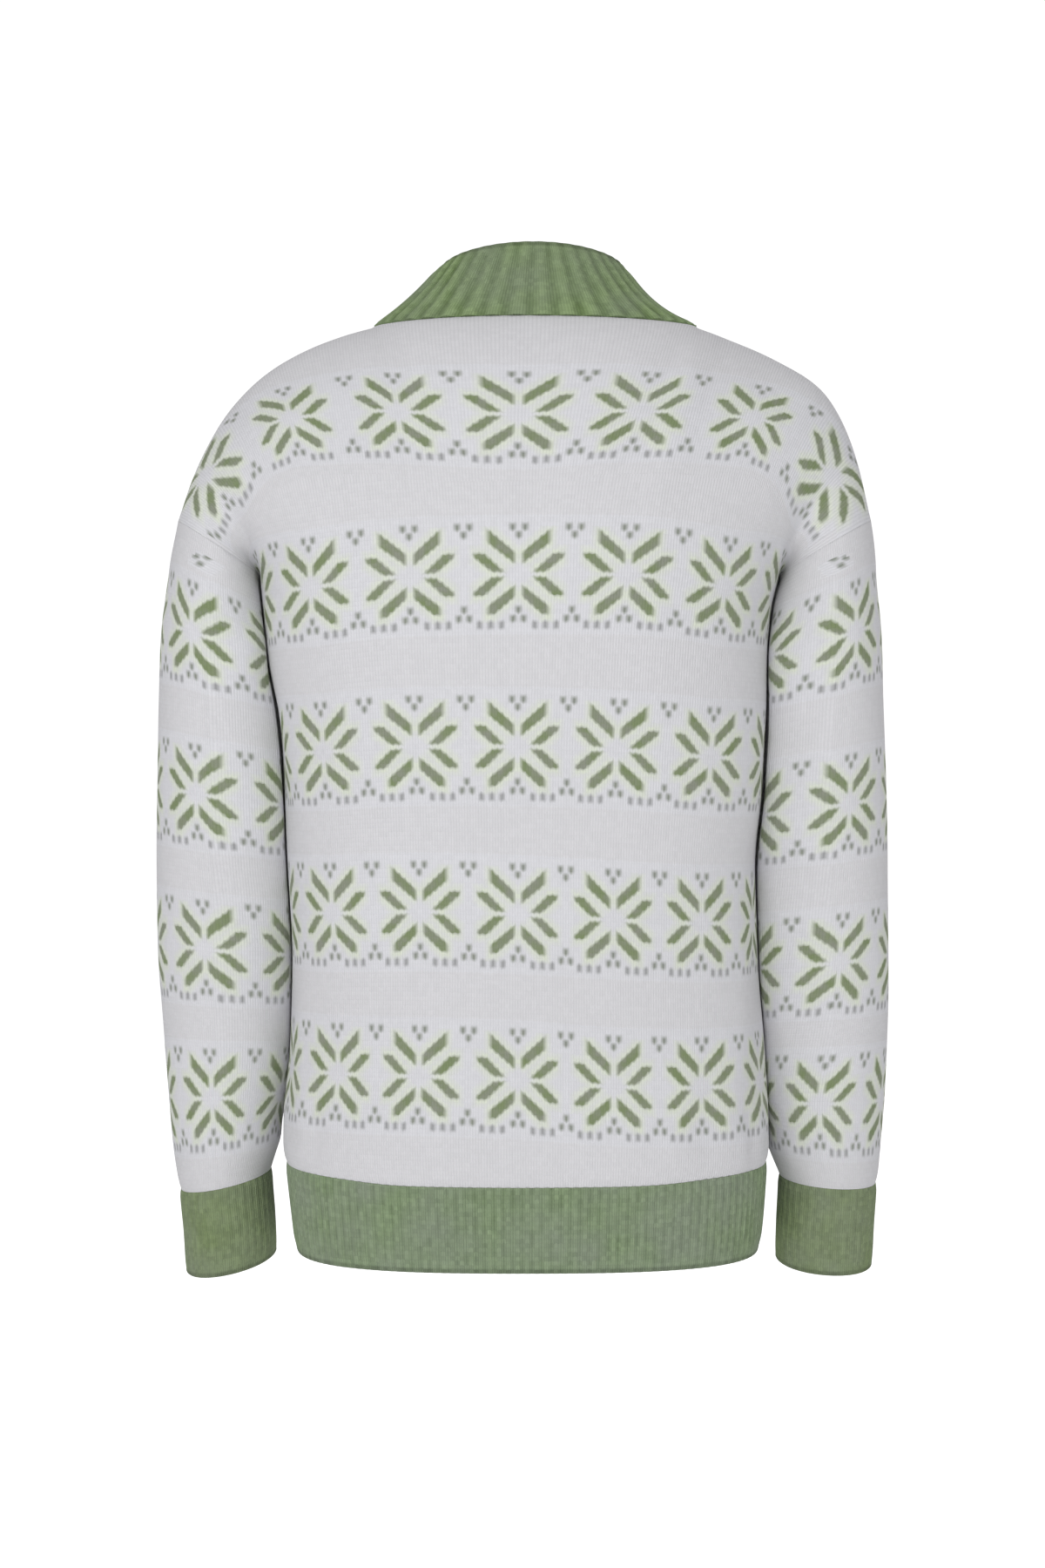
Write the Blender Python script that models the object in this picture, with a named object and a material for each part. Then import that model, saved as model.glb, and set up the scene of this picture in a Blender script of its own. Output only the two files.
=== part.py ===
"""A knitted pullover filled out as if worn: back, front, two dropped sleeves, cuffs, hem band, collar.

The pieces are thin walls round an empty inside. +Z is up and the front faces -Y, so the
wearer's left is +X. The origin is on the garment's middle plane, at the height of the two
neck points, where the shoulders carry it. Tables and sizes are in centimetres, and are
scaled to metres when a piece is made.
"""
import bpy
import bmesh
import numpy as np

CM = 0.01

# Whole garment
ARMPIT_Z = -17.3          # height of the underarm corner
HEM_Z = -58.3             # seam between the body and the hem band
HEM_END_Z = -63.9         # lower edge of the hem band
SEAM = 0.03               # gap between two pieces that are sewn together
KNIT_WALL = 0.25          # thickness of the plain knit
RIB_WALL = 0.26           # thickness of the ribbed knit below its ribs
RIB_RAISE = 0.13          # how far a rib stands out
SQUARENESS = 2.35         # 2 is an ellipse; the torso's rings are a little squarer
HALF_PANEL = 3.5          # repeats of the pattern from a panel's middle to its side
NECK_REPEAT = 1.25        # repeats from the middle to the neck point

# Rings of the torso: height, half width left and right, half depth back and front
TORSO = np.array([
    (-17.3, 18.22, 17.85, 12.1, 12.4),
    (-19.7, 17.98, 17.25, 12.1, 12.6),
    (-23.3, 17.60, 16.95, 11.8, 12.6),
    (-27.0, 16.95, 16.90, 11.5, 12.2),
    (-31.8, 16.50, 16.70, 11.2, 11.8),
    (-37.8, 16.20, 16.12, 11.0, 11.4),
    (-43.9, 15.90, 16.24, 11.0, 11.2),
    (-50.0, 16.06, 16.67, 11.1, 11.2),
    (-55.4, 16.50, 16.97, 11.1, 11.2),
    (-58.3, 16.25, 16.80, 10.9, 11.0),
    (-62.1, 15.80, 16.50, 10.8, 10.9),
    (-64.0, 15.55, 16.25, 10.8, 10.9),
])
LEFT_WIDTH, RIGHT_WIDTH, BACK_DEPTH, FRONT_DEPTH = 1, 2, 3, 4

# Top of the shoulders: repeats from the middle, x and z on the left, x and z on the right
SHOULDER = np.array([
    (1.25, 10.3, 0.00, 12.1, 0.00),
    (1.50, 12.6, -0.65, 14.0, -0.75),
    (2.00, 17.0, -2.75, 17.6, -2.35),
    (2.50, 20.4, -6.00, 21.0, -4.70),
    (3.00, 22.7, -10.1, 23.1, -8.90),
    (3.50, 23.9, -13.6, 24.2, -13.6),
])
LEFT_X, LEFT_Z, RIGHT_X, RIGHT_Z = 1, 2, 3, 4

# How the cloth rises from the armpit's height and comes down from the top seam:
# repeats from the middle, length and direction of the rise (out, away from the middle
# plane of the shoulders, up), length and direction of the fall (away, down)
DRAPE = np.array([
    (0.00, 6.5, 0.00, 0.06, 1.00, 5.0, 0.72, 0.55),
    (0.80, 6.5, 0.00, 0.08, 1.00, 5.3, 0.88, 0.36),
    (1.00, 6.5, 0.01, 0.09, 1.00, 5.9, 0.96, 0.24),
    (1.25, 6.5, 0.01, 0.12, 1.00, 7.4, 1.00, 0.12),
    (1.50, 6.5, 0.02, 0.15, 1.00, 6.7, 1.00, 0.06),
    (2.00, 6.5, 0.03, 0.24, 0.98, 5.8, 1.00, 0.02),
    (2.50, 6.0, 0.05, 0.44, 0.90, 5.6, 1.00, 0.00),
    (3.00, 5.2, 0.12, 0.65, 0.75, 5.5, 1.00, 0.00),
    (3.30, 5.9, 0.10, 0.92, 0.35, 6.3, 1.00, 0.00),
    (3.50, 7.1, 0.00, 1.00, 0.00, 7.1, 1.00, 0.00),
])
RISE, RISE_OUT, RISE_AWAY, RISE_UP, FALL, FALL_AWAY, FALL_DOWN = range(1, 8)

# Neck seam
NECK_MIDDLE = -0.45
NECK_LEFT = 10.3
NECK_RIGHT = 12.1
NECK_BACK = 5.6
NECK_FRONT = 8.2
NECK_BACK_DROP = 0.46
NECK_FRONT_DROP = 4.8

# Upper edge of the collar
COLLAR_MIDDLE = -0.70
COLLAR_HALF_WIDTH = 6.45
COLLAR_BACK = 4.8
COLLAR_FRONT = 6.4
COLLAR_SIDE_Z = 3.85
COLLAR_BACK_RISE = 1.23
COLLAR_FRONT_DROP = 3.3
COLLAR_HOLLOW = 0.35      # how far its side bends in between the seam and the edge
COLLAR_RIBS = 32
COLLAR_STEPS = 4          # points round one rib
COLLAR_ROWS = 5

HEM_RIBS = 144
CUFF_RIBS = 36
RIB_STEPS = 2

# Rings of a sleeve and its cuff: height of the middle, middle x and y, half width, half depth,
# tilt in degrees (outer side up)
SLEEVE_LEFT = np.array([
    (-15.45, 21.08, 0.0, 3.43, 5.30, 32.3),
    (-18.5, 21.45, -0.1, 3.50, 5.35, 27.0),
    (-22.0, 21.50, -0.2, 3.80, 5.30, 20.0),
    (-27.0, 21.30, -0.4, 4.15, 5.00, 14.0),
    (-32.3, 21.10, -0.5, 4.40, 4.75, 10.0),
    (-38.0, 21.05, -0.7, 4.50, 4.65, 7.5),
    (-43.2, 21.00, -0.9, 4.48, 4.60, 6.0),
    (-49.0, 20.83, -1.3, 4.25, 4.50, 2.0),
    (-53.1, 20.70, -1.6, 4.08, 4.35, -2.0),
    (-56.8, 20.62, -1.9, 3.86, 4.20, -7.0),
    (-59.4, 20.80, -2.1, 3.27, 3.75, -12.0),
    (-62.5, 20.58, -2.2, 3.22, 3.70, -11.5),
    (-65.1, 20.45, -2.3, 3.20, 3.65, -11.0),
])
SLEEVE_RIGHT = np.array([
    (-15.45, 21.02, 0.0, 3.43, 5.30, 32.3),
    (-18.5, 21.30, -0.1, 3.55, 5.35, 27.0),
    (-22.0, 21.30, -0.2, 3.85, 5.30, 20.0),
    (-27.0, 21.15, -0.4, 4.10, 5.00, 14.0),
    (-32.3, 21.05, -0.5, 4.35, 4.75, 10.0),
    (-38.0, 21.05, -0.7, 4.45, 4.65, 7.5),
    (-43.2, 21.10, -0.9, 4.45, 4.60, 6.0),
    (-49.0, 21.28, -1.3, 4.25, 4.50, 4.0),
    (-53.1, 21.28, -1.6, 4.10, 4.35, 1.0),
    (-56.8, 21.15, -1.9, 3.95, 4.20, -2.0),
    (-59.4, 21.40, -2.1, 3.42, 3.80, -4.0),
    (-62.5, 21.25, -2.2, 3.38, 3.75, -3.5),
    (-65.1, 21.15, -2.3, 3.36, 3.70, -3.0),
])
CUFF_Z = -59.4
CUFF_END_Z = -65.1
REST_GAP = 0.12           # between the sleeve and the side it hangs against
REST_SOFTNESS = 0.12

# Mesh spacing
PANEL_COLUMNS = 29        # four columns to a repeat
LOW_ROWS = 14
TOP_ROWS = 13
SLEEVE_COLUMNS = 20
SLEEVE_ROWS = 16

LEFT, RIGHT = 1, -1
BACK, FRONT = 1, -1


def curve(table, column, at):
    """A smooth curve without overshoot through one column of a table, at values of its first column."""
    rows = table[np.argsort(table[:, 0])]
    x = rows[:, 0]
    y = rows[:, column]
    step = np.diff(x)
    slope = np.diff(y) / step
    lean = np.concatenate([slope[:1], np.zeros(len(x) - 2), slope[-1:]])
    for i in range(1, len(x) - 1):
        if slope[i - 1] * slope[i] > 0:
            before = 2 * step[i] + step[i - 1]
            after = step[i] + 2 * step[i - 1]
            lean[i] = (before + after) / (before / slope[i - 1] + after / slope[i])
    at = np.clip(np.asarray(at, float), x[0], x[-1])
    i = np.clip(np.searchsorted(x, at) - 1, 0, len(x) - 2)
    t = (at - x[i]) / step[i]
    start = (2 * t**3 - 3 * t**2 + 1) * y[i] + (t**3 - 2 * t**2 + t) * step[i] * lean[i]
    end = (3 * t**2 - 2 * t**3) * y[i + 1] + (t**3 - t**2) * step[i] * lean[i + 1]
    return start + end


def unit(vectors):
    return vectors / np.maximum(np.linalg.norm(vectors, axis=-1, keepdims=True), 1e-12)


def even(points, share):
    """Points at shares of the length of a line of points."""
    length = np.concatenate([[0], np.cumsum(np.linalg.norm(np.diff(points, axis=0), axis=1))])
    at = np.asarray(share) * length[-1]
    return np.stack([np.interp(at, length, points[:, i]) for i in range(points.shape[1])], -1)


def quarter_oval(width, depth, share, power):
    """A quarter of an oval at shares of its length, from the depth's end (0) to the width's (1)."""
    angle = np.linspace(0, np.pi / 2, 181)
    line = np.stack([width * np.sin(angle) ** (2 / power), depth * np.cos(angle) ** (2 / power)], -1)
    return even(line, share)


def torso_row(z, repeat, half):
    """One half of the torso's ring at height z, at repeats from the middle."""
    depth = curve(TORSO, BACK_DEPTH if half == BACK else FRONT_DEPTH, z)
    row = np.zeros((len(repeat), 3))
    for side, column in ((LEFT, LEFT_WIDTH), (RIGHT, RIGHT_WIDTH)):
        here = repeat * side >= 0
        oval = quarter_oval(curve(TORSO, column, z), depth, np.abs(repeat[here]) / HALF_PANEL, SQUARENESS)
        row[here, 0] = side * oval[:, 0]
        row[here, 1] = half * oval[:, 1]
    row[:, 2] = z
    return row


def torso_side(side, y, z):
    """Distance of the torso's side from the middle plane, at y and z."""
    width = curve(TORSO, LEFT_WIDTH if side == LEFT else RIGHT_WIDTH, z)
    depth = np.where(y >= 0, curve(TORSO, BACK_DEPTH, z), curve(TORSO, FRONT_DEPTH, z))
    return width * np.clip(1 - np.abs(y / depth) ** SQUARENESS, 0, 1) ** (1 / SQUARENESS)


def neck_seam(across, away):
    """Neck seam for across = cos and away = sin of the angle from the left neck point by the back."""
    reach = np.where(across >= 0, NECK_LEFT, NECK_RIGHT)
    x = NECK_MIDDLE * (1 - np.abs(across)) + across * reach
    y = np.where(away >= 0, NECK_BACK, NECK_FRONT) * away
    z = np.where(away >= 0, -NECK_BACK_DROP * np.abs(away), -NECK_FRONT_DROP * np.abs(away) ** 1.5)
    return np.stack([x, y, z], -1)


def neck_out(across, away):
    """Direction out of the cloth along the neck seam, shared by the collar and the body."""
    return unit(np.stack([0.5 * across, 0.97 * away, 0.27 + 0.62 * across**2], -1))


def collar_edge(across, away):
    rise = np.where(away >= 0, COLLAR_BACK_RISE * away, -COLLAR_FRONT_DROP * np.abs(away) ** 1.3)
    x = COLLAR_MIDDLE + COLLAR_HALF_WIDTH * across
    y = np.where(away >= 0, COLLAR_BACK, COLLAR_FRONT) * away
    return np.stack([x, y, COLLAR_SIDE_Z + rise], -1)


def neck_up(across, away):
    """Direction along the cloth from the body into the collar, square to neck_out."""
    out = neck_out(across, away)
    up = collar_edge(across, away) - neck_seam(across, away)
    return unit(up - out * np.sum(up * out, axis=-1, keepdims=True))


def neck_place(repeat, half):
    """cos and sin of the angle on the neck seam, for wales that end there."""
    deep = NECK_BACK if half == BACK else NECK_FRONT
    wide = (NECK_LEFT + NECK_RIGHT) / 2
    oval = quarter_oval(1.0, deep / wide, np.abs(repeat) / NECK_REPEAT, 2)
    return np.where(repeat >= 0, 1, -1) * oval[:, 0], half * oval[:, 1] * wide / deep


def top_seam(repeat, half):
    """Where the wales of a panel end: the neck seam in the middle, the shoulder seams beside it."""
    row = np.zeros((len(repeat), 3))
    at_neck = np.abs(repeat) <= NECK_REPEAT
    row[at_neck] = neck_seam(*neck_place(repeat[at_neck], half))
    for side, x, z in ((LEFT, LEFT_X, LEFT_Z), (RIGHT, RIGHT_X, RIGHT_Z)):
        here = repeat * side > NECK_REPEAT
        row[here, 0] = side * curve(SHOULDER, x, np.abs(repeat[here]))
        row[here, 2] = curve(SHOULDER, z, np.abs(repeat[here]))
    return row


def yoke(repeat, rise, half):
    """Upper part of a panel: rows at shares of the rise from the armpit's height to the top seam."""
    low = torso_row(ARMPIT_Z, repeat, half)
    high = top_seam(repeat, half)
    far = np.abs(repeat)
    out = np.sign(repeat) * curve(DRAPE, RISE_OUT, far)
    start = unit(np.stack([out, half * curve(DRAPE, RISE_AWAY, far), curve(DRAPE, RISE_UP, far)], -1))
    end = unit(np.stack([0 * far, half * curve(DRAPE, FALL_AWAY, far), -curve(DRAPE, FALL_DOWN, far)], -1))
    low_pull = low + start * curve(DRAPE, RISE, far)[:, None]
    high_pull = high + end * curve(DRAPE, FALL, far)[:, None]
    t = rise[:, None, None]
    return ((1 - t)**3 * low + 3 * (1 - t)**2 * t * low_pull
            + 3 * (1 - t) * t**2 * high_pull + t**3 * high)


def armhole_frame(across, away, side):
    """Directions out of the cloth and into the sleeve, for cos and sin of the angle from the outer top."""
    outer = np.clip(across, 0, None)[:, None]
    under = np.clip(-across, 0, None)[:, None]
    out = unit(outer * (0.85, 0, 0.53) + under * (0, 0, -1) + away[:, None] * (0, 1, 0))
    into = unit((1 - under) * (0.53, 0, -0.85) + under * (1, 0, 0))
    into = unit(into - out * np.sum(into * out, axis=1, keepdims=True))
    return out * (side, 1, 1), into * (side, 1, 1)


def armhole(side, turn):
    """Armhole seam at turns (0 to 1) from the outer top by the back, the underarm and the front."""
    edge = np.array([side * HALF_PANEL])
    rise = np.linspace(0, 1, 121)
    back = even(yoke(edge, rise, BACK)[:, 0], 1 - 2 * np.clip(turn, 0, 0.5))
    front = even(yoke(edge, rise, FRONT)[:, 0], 2 * np.clip(turn, 0.5, 1) - 1)
    return np.where((turn <= 0.5)[:, None], back, front)


def sleeve_ring(side, z, turn):
    """Ring of a sleeve whose middle is at height z, before it meets the armhole."""
    table = SLEEVE_LEFT if side == LEFT else SLEEVE_RIGHT
    x, y, width, depth, tilt = (curve(table, i, z) for i in range(1, 6))
    angle = np.linspace(0, 2 * np.pi, 361)
    line = even(np.stack([width * np.cos(angle), depth * np.sin(angle)], -1), turn)
    tilt = np.radians(tilt)
    return np.stack([x + line[:, 0] * np.cos(tilt), y + line[:, 1], z + line[:, 0] * np.sin(tilt)], -1)


def sleeve_rows(side, heights, turn):
    """Rings of a sleeve, bent to the armhole at the top and resting against the torso's side."""
    top = SLEEVE_LEFT[0, 0]
    seam = armhole(side, turn) * (side, 1, 1)
    bend = seam - sleeve_ring(side, top, turn)
    rows = []
    for z in heights:
        row = sleeve_ring(side, z, turn) + bend * np.exp(-((top - z) / 3.0) ** 2)
        if z < top:
            wall = torso_side(side, row[:, 1], np.minimum(row[:, 2], ARMPIT_Z)) + REST_GAP
            past = row[:, 0] - wall
            row[:, 0] = wall + (past + np.sqrt(past**2 + REST_SOFTNESS**2)) / 2
        rows.append(row * (side, 1, 1))
    return np.array(rows)


def outward(points, closed, sign):
    """Directions out of the cloth at a grid of points."""
    if closed:
        along = np.roll(points, -1, axis=1) - np.roll(points, 1, axis=1)
    else:
        along = np.gradient(points, axis=1)
    return sign * unit(np.cross(along, np.gradient(points, axis=0)))


def seam_end(points, out, row):
    """Flatten a ring's wall into the plane of its seam and draw it back by half the gap."""
    inner = 1 if row == 0 else -2
    middle = points[row].mean(axis=0)
    count = points.shape[1]
    plane = unit(np.cross(points[row, count // 4] - middle, points[row, count // 2] - middle))
    plane = plane * np.sign(np.dot(plane, middle - points[inner].mean(axis=0)))
    points[row] -= plane * SEAM / 2
    out[row] = unit(out[row] - plane * (out[row] @ plane)[:, None])


def shell(name, points, out, wall, raised, closed, colour):
    """A closed wall on a grid of points: its outside raised, its inside drawn in by the wall."""
    rows, columns = points.shape[:2]
    outside = points + out * raised[..., None]
    inside = points - out * wall
    verts = np.concatenate([outside.reshape(-1, 3), inside.reshape(-1, 3)]) * CM
    layer = rows * columns
    faces = []
    last = columns if closed else columns - 1
    for i in range(rows - 1):
        for j in range(last):
            a = i * columns + j
            b = i * columns + (j + 1) % columns
            c = b + columns
            d = a + columns
            faces.append((a, b, c, d))
            faces.append((d + layer, c + layer, b + layer, a + layer))
    for j in range(last):
        a = j
        b = (j + 1) % columns
        faces.append((b, a, a + layer, b + layer))
        a += layer - columns
        b += layer - columns
        faces.append((a, b, b + layer, a + layer))
    if not closed:
        for i in range(rows - 1):
            a = i * columns
            b = a + columns
            faces.append((a, b, b + layer, a + layer))
            a += columns - 1
            b += columns - 1
            faces.append((b, a, a + layer, b + layer))
    mesh = bpy.data.meshes.new(name)
    mesh.from_pydata([tuple(v) for v in verts.tolist()], [], faces)
    work = bmesh.new()
    work.from_mesh(mesh)
    bmesh.ops.recalc_face_normals(work, faces=work.faces)
    work.to_mesh(mesh)
    work.free()
    mesh.shade_smooth()
    mesh.set_sharp_from_angle(angle=np.radians(50))
    mesh.materials.append(cloth(name, colour))
    piece = bpy.data.objects.new(name, mesh)
    PARTS.objects.link(piece)
    return piece


def cloth(name, colour):
    material = bpy.data.materials.new(name)
    material.use_nodes = True
    shader = material.node_tree.nodes["Principled BSDF"]
    shader.inputs["Base Color"].default_value = (*colour, 1)
    shader.inputs["Roughness"].default_value = 0.92
    shader.inputs["Metallic"].default_value = 0
    return material


PALE = (0.66, 0.66, 0.68)
SAGE = (0.21, 0.29, 0.145)


def panel_repeats():
    return np.linspace(-HALF_PANEL, HALF_PANEL, PANEL_COLUMNS)


def make_panel(name, half):
    """The back or the front, from the hem seam to the neck and shoulders."""
    repeat = panel_repeats()
    low = [torso_row(z, repeat, half) for z in np.linspace(HEM_Z, ARMPIT_Z, LOW_ROWS)]
    high = yoke(repeat, np.linspace(0, 1, TOP_ROWS), half)
    points = np.concatenate([np.array(low), high[1:]])
    out = outward(points, False, -half)
    seam_end(points, out, 0)
    flat = np.array([1, 0, 1])
    side_rows = slice(0, LOW_ROWS)
    for column in (0, -1):
        out[side_rows, column] = unit(out[side_rows, column] * flat)
        points[side_rows, column, 1] += half * SEAM / 2
    at_neck = np.abs(repeat) <= NECK_REPEAT + 1e-6
    shoulder = np.abs(repeat) >= NECK_REPEAT - 1e-6
    out[-1, shoulder] = unit(out[-1, shoulder] * flat)
    points[-1, shoulder, 1] += half * SEAM / 2
    across, away = neck_place(repeat[at_neck], half)
    out[-1, at_neck] = neck_out(across, away)
    points[-1, at_neck] -= neck_up(across, away) * SEAM / 2
    for side, column in ((RIGHT, 0), (LEFT, -1)):
        edge = slice(LOW_ROWS - 1, None)
        line = high[:, column]
        length = np.concatenate([[0], np.cumsum(np.linalg.norm(np.diff(line, axis=0), axis=1))])
        angle = np.pi * (1 - length / length[-1])
        frame, into = armhole_frame(np.cos(angle), half * np.sin(angle), side)
        out[edge, column] = frame
        points[edge, column] -= into * SEAM / 2
    shell(name, points, out, KNIT_WALL, np.zeros(points.shape[:2]), False, PALE)


def make_sleeve(name, side):
    turn = np.arange(SLEEVE_COLUMNS) / SLEEVE_COLUMNS
    top = SLEEVE_LEFT[0, 0]
    heights = np.concatenate([[top], np.linspace(top - 2.6, CUFF_Z, SLEEVE_ROWS - 1)])
    points = sleeve_rows(side, heights, turn)
    out = outward(points, True, -side)
    angle = 2 * np.pi * turn
    frame, into = armhole_frame(np.cos(angle), np.sin(angle), side)
    out[0] = frame
    points[0] += into * SEAM / 2
    seam_end(points, out, -1)
    shell(name, points, out, KNIT_WALL, np.zeros(points.shape[:2]), True, PALE)


def rib_heights(ribs, steps, rows):
    rib = (1 - np.cos(2 * np.pi * np.arange(ribs * steps) / steps)) / 2 * RIB_RAISE
    return np.tile(rib, (rows, 1))


def make_cuff(name, side):
    turn = np.arange(CUFF_RIBS * RIB_STEPS) / (CUFF_RIBS * RIB_STEPS)
    points = sleeve_rows(side, np.linspace(CUFF_Z, CUFF_END_Z, 3), turn)
    out = outward(points, True, -side)
    seam_end(points, out, 0)
    shell(name, points, out, RIB_WALL, rib_heights(CUFF_RIBS, RIB_STEPS, 3), True, SAGE)


def make_hem_band(name):
    count = HEM_RIBS * RIB_STEPS // 2
    repeat = np.linspace(-HALF_PANEL, HALF_PANEL, count + 1)[:-1]
    rows = []
    for z in np.linspace(HEM_Z, HEM_END_Z, 3):
        rows.append(np.concatenate([torso_row(z, repeat, BACK), torso_row(z, -repeat, FRONT)]))
    points = np.array(rows)
    out = outward(points, True, 1)
    seam_end(points, out, 0)
    shell(name, points, out, RIB_WALL, rib_heights(HEM_RIBS, RIB_STEPS, 3), True, SAGE)


def make_collar(name):
    """The collar, whose lower edge follows the straight steps of the panels' neck edges."""
    angle = 2 * np.pi * np.arange(COLLAR_RIBS * COLLAR_STEPS) / (COLLAR_RIBS * COLLAR_STEPS)
    repeat = panel_repeats()
    repeat = repeat[np.abs(repeat) < NECK_REPEAT + 1e-6]
    places = [neck_place(repeat[::-1], BACK), neck_place(repeat[1:-1], FRONT)]
    across = np.concatenate([place[0] for place in places])
    away = np.concatenate([place[1] for place in places])
    steps = np.arctan2(away, across) % (2 * np.pi)

    def between_steps(values):
        return np.stack([np.interp(angle, steps, values[:, i], period=2 * np.pi) for i in range(3)], -1)

    low = between_steps(neck_seam(across, away))
    seam_out = unit(between_steps(neck_out(across, away)))
    seam_up = between_steps(neck_up(across, away))
    high = collar_edge(np.cos(angle), np.sin(angle))
    bend = (low + high) / 2 - seam_out * COLLAR_HOLLOW
    rise = np.linspace(0, 1, COLLAR_ROWS)[:, None, None]
    points = (1 - rise)**2 * low + 2 * (1 - rise) * rise * bend + rise**2 * high
    out = outward(points, True, 1)
    out[0] = seam_out
    points[0] += seam_up * SEAM / 2
    ribs = rib_heights(COLLAR_RIBS, COLLAR_STEPS, COLLAR_ROWS)
    shell(name, points, out, RIB_WALL, ribs, True, SAGE)


for old in list(bpy.data.objects):
    bpy.data.objects.remove(old, do_unlink=True)
PARTS = bpy.data.collections.new("sweater")
bpy.context.scene.collection.children.link(PARTS)

make_panel("back", BACK)
make_panel("front", FRONT)
make_sleeve("sleeve_left", LEFT)
make_sleeve("sleeve_right", RIGHT)
make_cuff("cuff_left", LEFT)
make_cuff("cuff_right", RIGHT)
make_hem_band("hem_band")
make_collar("collar")
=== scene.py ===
from functools import partialmethod, reduce

import bpy
import bmesh
import numpy as np
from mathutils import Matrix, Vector


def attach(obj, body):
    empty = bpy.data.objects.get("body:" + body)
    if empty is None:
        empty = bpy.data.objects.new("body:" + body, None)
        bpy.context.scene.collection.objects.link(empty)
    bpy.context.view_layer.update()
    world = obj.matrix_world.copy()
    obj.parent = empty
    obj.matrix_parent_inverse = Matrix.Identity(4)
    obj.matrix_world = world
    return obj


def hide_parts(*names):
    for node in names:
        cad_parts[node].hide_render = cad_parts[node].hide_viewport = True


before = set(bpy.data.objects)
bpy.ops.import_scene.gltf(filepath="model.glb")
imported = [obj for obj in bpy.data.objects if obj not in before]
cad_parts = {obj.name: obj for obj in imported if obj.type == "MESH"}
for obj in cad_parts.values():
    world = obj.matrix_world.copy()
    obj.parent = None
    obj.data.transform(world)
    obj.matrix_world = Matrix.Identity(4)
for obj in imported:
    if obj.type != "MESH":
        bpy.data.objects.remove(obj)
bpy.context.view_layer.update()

CM = 0.01
LEFT, RIGHT = 1, -1
BACK, FRONT = 1, -1

# ---- form, as in the part's source

ARMPIT_Z = -17.3
HEM_Z = -58.3
HEM_END_Z = -63.9
SEAM = 0.012  # gap between sewn pieces, closer than the solids' own
KNIT_WALL = 0.24
RIB_WALL = 0.26
RIB_RAISE = 0.12  # height of the hem's ribs
COLLAR_RAISE = 0.20
CUFF_RAISE = 0.05
RIB_ROUNDNESS = 0.8  # below 1 widens the ribs and narrows the valleys
HALF_PANEL = 3.5  # repeats from a panel's middle to its side
NECK_REPEAT = 1.25

# Rings of the torso: height, half width left and right, half depth back and front, and
# squareness, of which 2 is an ellipse
TORSO = np.array([
    (-17.3, 18.22, 17.85, 12.1, 12.4, 2.35),
    (-19.7, 17.98, 17.25, 12.1, 12.6, 2.38),
    (-23.3, 17.6, 16.95, 11.8, 12.6, 2.45),
    (-27, 16.95, 16.9, 11.5, 12.2, 2.52),
    (-31.8, 16.5, 16.7, 11.2, 11.8, 2.6),
    (-37.8, 16.2, 16.12, 11, 11.4, 2.62),
    (-43.9, 15.9, 16.24, 11, 11.2, 2.62),
    (-50, 16.06, 16.67, 11.1, 11.2, 2.62),
    (-55.4, 16.5, 16.97, 11.1, 11.2, 2.62),
    (-58.3, 16.25, 16.8, 10.9, 11, 2.6),
    (-62.1, 15.8, 16.5, 10.8, 10.9, 2.6),
    (-64, 15.55, 16.25, 10.8, 10.9, 2.6),
])
WIDTH = {LEFT: 1, RIGHT: 2}  # also the columns of PRESS
DEPTH = {BACK: 3, FRONT: 4}
SQUARENESS = 5

# Top of the shoulders: repeats from the middle, x and z on the left, x and z on the right
SHOULDER = np.array([
    (1.25, 10.3, 0, 12.1, 0),
    (1.5, 12.6, -0.65, 14, -0.75),
    (2, 17, -2.75, 17.6, -2.35),
    (2.5, 20.4, -6, 21, -4.7),
    (3, 22.7, -10.1, 23.1, -8.9),
    (3.5, 23.9, -13.6, 24.2, -13.6),
])
SHOULDER_X = {LEFT: 1, RIGHT: 3}
SHOULDER_Z = {LEFT: 2, RIGHT: 4}

# Rise of the cloth from the armpit's height and its fall from the top seam: repeats from the
# middle, length and direction of the rise (out, away, up), and of the fall (away, down)
DRAPE = np.array([
    (0, 6.5, 0, 0.06, 1, 5, 0.72, 0.55),
    (0.8, 6.5, 0, 0.08, 1, 5.3, 0.88, 0.36),
    (1, 6.5, 0.01, 0.09, 1, 5.9, 0.96, 0.24),
    (1.25, 6.5, 0.01, 0.12, 1, 7.4, 1, 0.12),
    (1.5, 6.5, 0.02, 0.15, 1, 6.7, 1, 0.06),
    (2, 6.5, 0.03, 0.24, 0.98, 5.8, 1, 0.02),
    (2.5, 6, 0.05, 0.44, 0.9, 5.6, 1, 0),
    (3, 5.2, 0.12, 0.65, 0.75, 5.5, 1, 0),
    (3.3, 5.9, 0.1, 0.92, 0.35, 6.3, 1, 0),
    (3.5, 7.1, 0, 1, 0, 7.1, 1, 0),
])

NECK_SOFTNESS = 0.35  # repeats in which the cloth below a neck point loses its corner
CORNER_FADE = 8  # power of the rise by which the corner is gone below the seam

# The neck seam: its middle, reach to each side, back and front, and drop there
NECK_MIDDLE = -0.45
NECK_LEFT = 10.3
NECK_RIGHT = 12.1
NECK_BACK = 5.6
NECK_FRONT = 8.2
NECK_BACK_DROP = 0.10
NECK_FRONT_DROP = 4.8
NECK_FRONT_POWER = 1.5  # of that drop towards the front
NECK_OUT = (0.5, 0.97, 0.27, 0.62)  # out of the cloth: across, away, up, more up at the sides

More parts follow.
